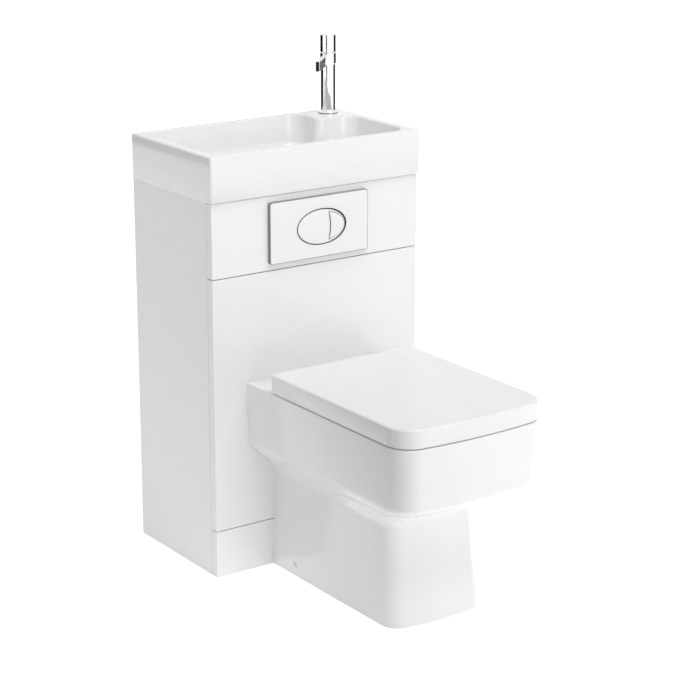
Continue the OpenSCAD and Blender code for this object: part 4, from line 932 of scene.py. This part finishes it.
# the divider's place at its ends, its bow, half its height and half the width of its dark lip, which
# paints the shadow in the gap
DIVIDER_X, DIVIDER_BOW, DIVIDER_HALF, SHADE_LIP_HALF = 16.0, 5.0, 37.0, 0.95
FLUSH_Z = (edge_mm("flush_plate", 0, 2) + edge_mm("flush_plate", 1, 2)) / 2
RAYS = np.radians(np.arange(0, 360, 2.5)) - math.pi / 4


def oval_halves(s, inset=0.0):
    """Half width and half height of the buttons' oval."""
    return mm(s.oval_width) / 2 - inset, mm(s.oval_height) / 2 - inset


def divider(z):
    """The divider's place across at a height from the middle: x0 + bow cos(90 |z| / half height)."""
    return DIVIDER_X + DIVIDER_BOW * np.cos(np.pi / 2 * np.minimum(1, abs(z) / DIVIDER_HALF))


def oval_from(cx, w, h):
    """Ellipse met by rays from a point on its long axis: the positive root of the quadratic in r."""
    c, q = np.cos(RAYS), np.sin(RAYS)
    a = (c / w) ** 2 + (q / h) ** 2
    b, k = cx * c / w ** 2, (cx / w) ** 2 - 1
    r = (-b + np.sqrt(b * b - a * k)) / a
    return np.stack([cx + r * c, r * q], -1)


def half_from(cx, w, h, grow):
    """Half button met by the same rays: the nearer of an inner ellipse, which lies a little to the
    right, and the curved divider, found by halving the distance thirty times."""
    oval = oval_from(cx - HALF_SHIFT, w, h) + [HALF_SHIFT, 0]
    reach = np.hypot(oval[:, 0] - cx, oval[:, 1])
    c, q = np.cos(RAYS), np.sin(RAYS)
    near, far = np.zeros(len(RAYS)), reach.copy()
    for _ in range(30):
        mid = (near + far) / 2
        inside = cx + mid * c > divider(mid * q) - grow
        near, far = np.where(inside, mid, near), np.where(inside, far, mid)
    return np.stack([cx + near * c, near * q], -1)


def on_plate(outline, y, middle=OVAL_X):
    """Outline about the oval's centre, at a depth in front of the cabinet."""
    return upright(outline + [middle, FLUSH_Z], y)


def domed(outline, front, crown, s):
    """Outline whose depth rises towards the oval's centre: crown (1 - (x/a)^2 - (z/b)^2)."""
    a, b = oval_halves(s)
    rise = 1 - (outline[:, 0] / a) ** 2 - (outline[:, 1] / b) ** 2
    ring = on_plate(outline, front)
    ring[:, 1] -= crown * np.clip(rise, 0, 1)
    return ring


def plate_ring(s, inset, y):
    """The plate's outline drawn in by an inset, at a depth."""
    w, h = mm(s.plate_width) - 2 * inset, mm(s.plate_height) - 2 * inset
    return on_plate(box_outline(w, h, PLATE_CORNER - inset / 2, PLATE_SIDE, PLATE_ARC), y, 0)


def plate_shell(s):
    """Plate: over its eased edge, across the face to the oval, through it and back behind."""
    a, b = oval_halves(s)
    lip, edge_r, mouth_r, behind = 1.0, 0.8, 0.5, PLATE_FRONT + 2

    def oval(grow, y):
        return on_plate(oval_from(0, a + grow, b + grow), y)

    rings = [plate_ring(s, lip + 0.3, behind), plate_ring(s, lip, behind - 0.3)]
    rings += [plate_ring(s, lip + drawn(edge_r, t), PLATE_FRONT + sunk(edge_r, t)) for t in QUARTER]
    rings += [0.5 * plate_ring(s, lip + 4, PLATE_FRONT) + 0.5 * oval(3, PLATE_FRONT)]
    rings += [oval(sunk(mouth_r, t), PLATE_FRONT + drawn(mouth_r, t)) for t in QUARTER[::2]]
    rings.append(oval(0, behind))
    return skin(rings, wrap=True)


def shade_band_shell(s):
    """Dark grey frame under the edge of the plate: an upright wall round its outline, whose grey
    paints the shade that falls on the plate's sides.
    """
    front = PLATE_FRONT + 0.5
    return skin([plate_ring(s, inset, y) for inset, y in (
        (0.4, -0.2), (0, -0.6), (0, front + 0.2), (0.2, front), (0.95, front), (0.95, front + 2),
        (4, front + 2), (4, -0.2))], wrap=True)


def trim_shell(s):
    """Dark trim carried round the oval: a low bead that meets the button all round, a dark joint whose
    width grows towards the right by the square of the ray's cosine, where the extra dark width paints
    the shade in the gap on that side."""
    oval = oval_from(0, *oval_halves(s))
    outwards = oval / np.linalg.norm(oval, axis=1, keepdims=True)
    width = mm(s.trim) + mm(s.painted_shade_swell) * np.clip(np.cos(RAYS[:, None]), 0, 1) ** 2
    inner, middle_y, height = -1.4, PLATE_FRONT + 0.3, 0.9  # overlap, depth and half depth
    return skin([on_plate(oval + outwards * (width / 2 * (1 + math.cos(t)) + inner),
                          middle_y - height * math.sin(t))
                 for t in np.radians(np.arange(0, 360, 30))], wrap=True)


def shade_lip_shell(s):
    """Dark lip in the gap between the two buttons, painted shadow of that gap: a bar that follows the
    divider's cosine.
    """
    a, b = oval_halves(s)
    high = np.linspace(-1, 1, 25) * (b - 8)
    across = divider(high)
    front = -10.1 - mm(s.crown) * (1 - (across / a) ** 2 - (high / b) ** 2)
    sides, behind = OVAL_X - 0.2 + SHADE_LIP_HALF * np.array([-1, 1, 1, -1]), -5.0
    return skin([np.stack([x + sides, [behind, behind, y, y], np.full(4, FLUSH_Z + z)], -1)
                 for x, y, z in zip(across, front, high)])


def full_button_shell(s):
    """Oval button with the half button's place cut out of it, gently domed."""
    (a, b), crown = oval_halves(s, 1.8), mm(s.crown)
    cx, front = HALF_MIDDLE, -10.2
    hole = half_from(cx, a - 4.6, b - 4.6, 1.0)
    rings = [on_plate(oval_from(cx, a, b), y) for y in (BUTTON_BACK, front + 1.0)]
    rings += [domed(oval_from(cx, a - d, b - d), front + 1.0 - z, 0, s)
              for d, z in ((0.15, 0.5), (0.5, 0.85), (1.0, 1.0))]
    edge_ring = oval_from(cx, a - 1.0, b - 1.0)
    rings += [domed((1 - t) * edge_ring + t * hole, front, crown, s)
              for t in (0.2, 0.4, 0.6, 0.8, 0.96)]
    low = domed(hole, front, crown, s)
    low[:, 1] += 0.4
    rings += [low, on_plate(hole, BUTTON_BACK)]
    return together(skin(rings, wrap=True), stem(-5.0, front + 3))


def half_button_shell(s):
    """Half button, domed with the full one and standing a little in front of it."""
    (a, b), crown, front = oval_halves(s, 7.6), mm(s.crown), -10.4
    outline = half_from(HALF_MIDDLE, a, b, -0.6)
    rings = [on_plate(outline, y) for y in (BUTTON_BACK, front + 0.9)]
    middle = np.array([HALF_MIDDLE, 0.0])
    for k, z in ((0.985, 0.5), (0.965, 0.8), (0.94, 0.9)):
        rings.append(domed(middle + k * (outline - middle), front + 0.9 - z, 0, s))
    rings += [domed(middle + k * (outline - middle), front, crown, s) for k in (0.9, 0.7, 0.45, 0.2)]
    return together(skin(rings), stem(38.0, front + 3))


def stem(x, start):
    """Round push stem that runs back to the button's lever."""
    back = edge_mm("full_flush_button", 1, 1)
    profile = [(3, -back), (3.5, -back + 0.5), (3.5, -start)]
    return turned(profile, x, FLUSH_Z, 24, fronted)


class UNIT_OT_flush(Operator):
    """Make the flush plate, its dark trim, the grey band and dark lip that paint shade, and both
    buttons
    """
    bl_idname = "unit.flush"
    bl_label = "Flush plate"

    def execute(self, context):
        s = context.scene.unit_flush
        gloss = finish("gloss_white")
        make_piece("flush_cover_plate", plate_shell(s), "unit", gloss,
                   ("flush_plate",))
        # dark grey band that paints the shade on the plate's sides
        make_piece("flush_plate_band", shade_band_shell(s), "unit", finish("painted_shade_edge_grey"))
        # near-black trim whose swell on the right paints the shade in the gap
        make_piece("flush_oval_trim", trim_shell(s), "unit", finish("dark_plate"))
        # black lip that paints the shadow in the gap between the buttons
        make_piece("flush_divider_lip", shade_lip_shell(s), "full_button", finish("rubber"))
        make_piece("full_flush_cap", full_button_shell(s), "full_button", gloss,
                   ("full_flush_button",))
        make_piece("half_flush_cap", half_button_shell(s), "half_button", gloss,
                   ("half_flush_button",))
        return {"FINISHED"}


# Tap

TAP_X, TAP_Y = ((edge_mm("tap_body", 0, axis) + edge_mm("tap_body", 1, axis)) / 2 for axis in (0, 1))
TAP_FOOT = edge_mm("basin", 1, 2)
RING_Z, RING_TOP = edge_mm("tap_spout", 0, 2), edge_mm("tap_spout", 1, 2)
HANDLE_Z, TAP_TOP = edge_mm("tap_handle", 0, 2), edge_mm("tap_handle", 1, 2)
SHADE_SEAL = 1.0  # thickness of the dark seal under the tap's flange, a rubber ring whose black also paints the contact shadow there
FLANGE_R, FLANGE_H, CORE_R = 21.5, 3.6, 9
BAR_H, BAR_MIDDLE = 21.9, 11.75  # height of the spout's bar, and its middle above the ring's foot


def about_tap(profile):
    """Turned shape about the tap's column."""
    return turned(profile, TAP_X, TAP_Y, 96)


class UNIT_OT_tap(Operator):
    """Make the tap's column, spout and handle"""
    bl_idname = "unit.tap"
    bl_label = "Tap"

    def execute(self, context):
        s = context.scene.unit_tap
        chrome, r, crease = finish("chrome"), mm(s.column), 40
        foot, flange_top = TAP_FOOT + SHADE_SEAL, TAP_FOOT + FLANGE_H
        flange = [(FLANGE_R - 0.6, foot), (FLANGE_R, foot + 0.5), (FLANGE_R, flange_top)]
        flange += eased(FLANGE_R - 1.4, flange_top, 1.4, 0, 90)
        column = eased(r + 1, TAP_FOOT + 6, 1.0, 270, 180, 4)
        column += [(r, TAP_FOOT + 6.6), (r, RING_Z - 1.6), (r - 0.7, RING_Z - 0.9), (r - 0.7, RING_Z)]
        make_piece("tap_column", about_tap(flange + column), "unit", chrome,
                   ("tap_body",), crease)
        # dark rubber ring under the flange that also paints the contact shadow on the basin
        low, high, seal_r = TAP_FOOT + 0.1, foot - 0.05, FLANGE_R - 0.4
        seal = [(r, low), (seal_r, low), (seal_r, high), (r, high)]
        make_piece("tap_base_seal", about_tap(seal), "unit", finish("rubber"))

        ring_r, ease = r + 1.5, 0.6
        ring = [(CORE_R, RING_Z), (ring_r - ease, RING_Z)]
        ring += eased(ring_r - ease, RING_Z + ease, ease, -90, 0, 3)
        ring += [(ring_r, RING_Z + 1.0), (ring_r, RING_TOP - 1.0)]
        ring += eased(ring_r - ease, RING_TOP - ease, ease, 0, 90, 3) + [(CORE_R, RING_TOP)]
        angle, reach = -math.pi / 2 - s.turn, mm(s.reach)
        section = box_outline(mm(s.bar), BAR_H, 0.8, 8, 4)
        stations = [(4, 0), (reach - 1.1, 0), (reach - 0.7, 0), (reach - 0.2, 0.2), (reach, 0.7),
                    (reach, 1.1)]
        bar = swept(section, (TAP_X, TAP_Y, RING_Z + BAR_MIDDLE), (math.cos(angle), math.sin(angle)),
                    stations)
        make_piece("tap_spout_bar", together(about_tap(ring), bar), "unit", chrome,
                   ("tap_spout",), crease)

        cap_r, ease = ring_r - 0.4, 0.5
        cap = [(CORE_R, HANDLE_Z), (cap_r - ease, HANDLE_Z)]
        cap += eased(cap_r - ease, HANDLE_Z + ease, ease, -90, 0, 3)
        cap += [(cap_r, HANDLE_Z + 0.9), (cap_r, TAP_TOP - 1.4)]
        cap += eased(cap_r - 1.0, TAP_TOP - 1.0, 1.0, 0, 90, 6)
        cap += [(cap_r - 1.6, TAP_TOP), (cap_r - 4, TAP_TOP)]
        make_piece("tap_handle_cap", about_tap(cap), "handle", chrome, ("tap_handle",),
                   crease)
        return {"FINISHED"}


# Carried-over nodes

KEPT = {
    "foil": ["side_panel_left", "side_panel_right", "fascia_panel", "front_panel", "plinth_panel",
             "top_rail_front", "top_rail_back", "back_rail_upper"],
    "chips": ["front_rail_middle", "front_rail_lower", "cistern_shelf"],
    "gloss_white": ["pan_fixing_screws", "lid_buffers", "panel_clips"],
    "pebbled": ["corner_blocks", "waste_backnut", "trap_body", "trap_cup", "waste_pipe", "flush_frame",
                "cistern_tank", "cistern_lid", "inlet_valve", "inlet_backnut", "flush_valve_tube",
                "half_flush_rod", "flush_backnut", "flush_pipe", "pan_brackets", "pan_connector"],
    "grey": ["full_flush_lever", "half_flush_lever", "inlet_float", "flush_valve_base"],
    "chrome": ["waste_body", "waste_plug", "hinge_pillars"],
    "steel": ["wall_brackets", "tap_aerator", "lever_pin", "hinge_pins", "hinge_bolts"],
    "braid": ["hot_hose", "cold_hose"],
    "brass": ["tap_stud", "tap_clamp_nut"],
    "rubber": ["flush_cone_seal", "seat_buffers"],
}


class UNIT_OT_fittings(Operator):
    """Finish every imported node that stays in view"""
    bl_idname = "unit.fittings"
    bl_label = "Fittings"

    def execute(self, context):
        for name, nodes in KEPT.items():
            for node in nodes:
                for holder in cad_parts[node].material_slots:
                    holder.material = finish(name)
        bare = [n for n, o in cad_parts.items() if not o.hide_render
                and n not in sum(KEPT.values(), [])]
        if bare:
            raise RuntimeError(f"no finish is given for {bare}")
        return {"FINISHED"}


# Stage

CAMERA_AT = (-2.3377, -3.2987, 1.6996)
AIM = (0.0, 0.0, 0.45)
# dark and grey cards that lie on the floor, seen only in the tap's reflections: the turn from the
# camera's side to the right at both ends, and the share of light that each gives back
CARDS = {"card_left": (-152, -81, 0.0), "card_right": (95, 151, 0.0), "card_side": (152, 168, 0.2),
         "card_spout": (-29, -12, 0.02)}
CARD_NEAR, CARD_FAR, CARD_Z = 4.7, 7.8, 0.002
# lamps: where each stands as seen from the unit's middle, its distance and its size in metres
KEY_FROM = (0.0, -0.375, 0.927)
FILL_FROM = (0.0, -0.995, 0.105)
LAMP_DISTANCE, LAMP_SIZE, FLOOR_HALF = 4.0, 2.4, 30
# plane, depths and heights of the dark card that takes light off the pan's left side
SHADE_X, SHADE_Y, SHADE_Z = -0.58, (-0.95, -0.27), (0.05, 0.75)


def seen_only(finish_tree):
    """1 for camera, glossy and transmission rays, 0 for the rest."""
    camera, glossy, through = (finish_tree.node("ShaderNodeLightPath", output=name) for name in (
        "Is Camera Ray", "Is Glossy Ray", "Is Transmission Ray"))
    either = camera + glossy
    return either.maths("MAXIMUM", either, through)


class WorldTree(Finish):
    """The world's nodes, made with the same node method as a finish."""

    def __init__(self, world):
        world.use_nodes = True
        self.tree = world.node_tree
        self.shader = self.tree.nodes["Background"]


def strip(name, near, far, material):
    """Band between two lines of points, as part of the stage."""
    n = len(near)
    mesh = bpy.data.meshes.new(name)
    mesh.from_pydata(np.vstack([near, far]).tolist(), [],
                     [(i, i + 1, n + i + 1, n + i) for i in range(n - 1)])
    mesh.materials.append(material)
    obj = linked(name, mesh)
    return obj


def area_lamp(name, power, direction):
    """Square lamp that looks at the unit's middle from a direction."""
    lamp = bpy.data.lights.new(name, "AREA")
    lamp.shape, lamp.size, lamp.energy = "SQUARE", LAMP_SIZE, power
    obj = linked(name, lamp)
    towards = Vector(direction).normalized()
    obj.location = Vector(AIM) + towards * LAMP_DISTANCE
    obj.rotation_euler = towards.to_track_quat("Z", "Y").to_euler()


def card_paper(name, light):
    """Dull black card that gives back a little light."""
    f = Finish(name, Roughness=1.0, Specular_IOR_Level=0.0, Emission_Strength=1.0)
    return f.drive(Base_Color=f.between(f.noise(3), (0.0, 0.0, 0.0), (0.004, 0.004, 0.004)),
                   Emission_Color=f.between(f.noise(1), shade((light,) * 3, 0.8), (light,) * 3))


class UNIT_OT_stage(Operator):
    """Set the floor, the light and the camera"""
    bl_idname = "unit.stage"
    bl_label = "Stage"

    def execute(self, context):
        scene, look = context.scene, context.scene.unit_stage
        pale = tuple(scene.unit_finishes.floor)
        f = Finish("pale_floor", Roughness=0.9, Specular_IOR_Level=0.1, Emission_Strength=1.0)
        f.drive(Base_Color=f.tinted(f.noise(2, 2), pale, 0.99, 1),
                Emission_Color=f.between(seen_only(f), (look.bounce,) * 3, (look.glow,) * 3))
        front, back = ([(-FLOOR_HALF, y), (FLOOR_HALF, y)] for y in (-FLOOR_HALF, FLOOR_HALF))
        strip("floor", lifted(front, 0), lifted(back, 0), f.material)

        scene.world = bpy.data.worlds.new("even_light")
        w = WorldTree(scene.world)
        w.feed(w.shader.inputs["Color"], w.between(seen_only(w), (look.sky,) * 3, (1, 1, 1)))

        area_lamp("key", look.key_power, KEY_FROM)
        area_lamp("fill", look.fill_power, FILL_FROM)

        tap = np.array([TAP_X / 1000, TAP_Y / 1000 + FACE_Y])
        for name, (first, last, light) in CARDS.items():
            turns = look.yaw + math.pi + np.radians(np.linspace(-first, -last, 13))
            ray = np.stack([np.sin(turns), np.cos(turns)], -1)
            near, far = (lifted(tap + distance * ray, CARD_Z) for distance in (CARD_NEAR, CARD_FAR))
            card = strip(name, near, far, card_paper(name, light))
            card.visible_camera = card.visible_diffuse = card.visible_shadow = False
            card.visible_transmission = False
        low, high = (lifted([(SHADE_X, y) for y in SHADE_Y], z) for z in SHADE_Z)
        card = strip("card_shade", low, high, card_paper("dark_flag", 0.0))
        card.visible_camera = card.visible_glossy = card.visible_transmission = False

        lens = bpy.data.cameras.new("camera")
        lens.lens, lens.sensor_width = look.lens, 36.0
        camera = linked("camera", lens)
        forward = Vector((math.sin(look.yaw) * math.cos(look.pitch),
                          math.cos(look.yaw) * math.cos(look.pitch), -math.sin(look.pitch)))
        right = Vector((math.cos(look.yaw), -math.sin(look.yaw), 0))
        turned_to = Matrix((right, right.cross(forward), -forward)).transposed()
        camera.matrix_world = Matrix.Translation(CAMERA_AT) @ turned_to.to_4x4()
        scene.camera = camera
        scene.view_settings.view_transform = "Standard"
        return {"FINISHED"}


# Panel and start

STEPS = ("basin", "pan", "seat", "flush", "tap", "fittings", "stage")
GROUPS = {"unit_basin": BasinSizes, "unit_pan": PanSizes, "unit_seat": SeatSizes,
          "unit_flush": FlushSizes, "unit_tap": TapSizes, "unit_finishes": UnitFinishes,
          "unit_stage": StageLook}


class UNIT_PT_panel(Panel):
    """Sizes, colours and steps of the unit"""
    bl_idname = "UNIT_PT_panel"
    bl_label = "Toilet and basin unit"
    bl_space_type = "VIEW_3D"
    bl_region_type = "UI"
    bl_category = "Unit"

    def draw(self, context):
        for step in STEPS:
            self.layout.operator(f"unit.{step}")
        for name, group in GROUPS.items():
            box = self.layout.box()
            for key in group.__annotations__:
                box.prop(getattr(context.scene, name), key)


CLASSES = (*GROUPS.values(), UNIT_OT_basin, UNIT_OT_pan, UNIT_OT_seat, UNIT_OT_flush, UNIT_OT_tap,
           UNIT_OT_fittings, UNIT_OT_stage, UNIT_PT_panel)


def register():
    for cls in CLASSES:
        bpy.utils.register_class(cls)
    for name, group in GROUPS.items():
        setattr(bpy.types.Scene, name, PointerProperty(type=group))


def unregister():
    for name in GROUPS:
        delattr(bpy.types.Scene, name)
    for cls in reversed(CLASSES):
        bpy.utils.unregister_class(cls)


def main():
    register()
    for step in STEPS:
        getattr(bpy.ops.unit, step)()
    bpy.context.view_layer.update()


if __name__ == "__main__":
    main()
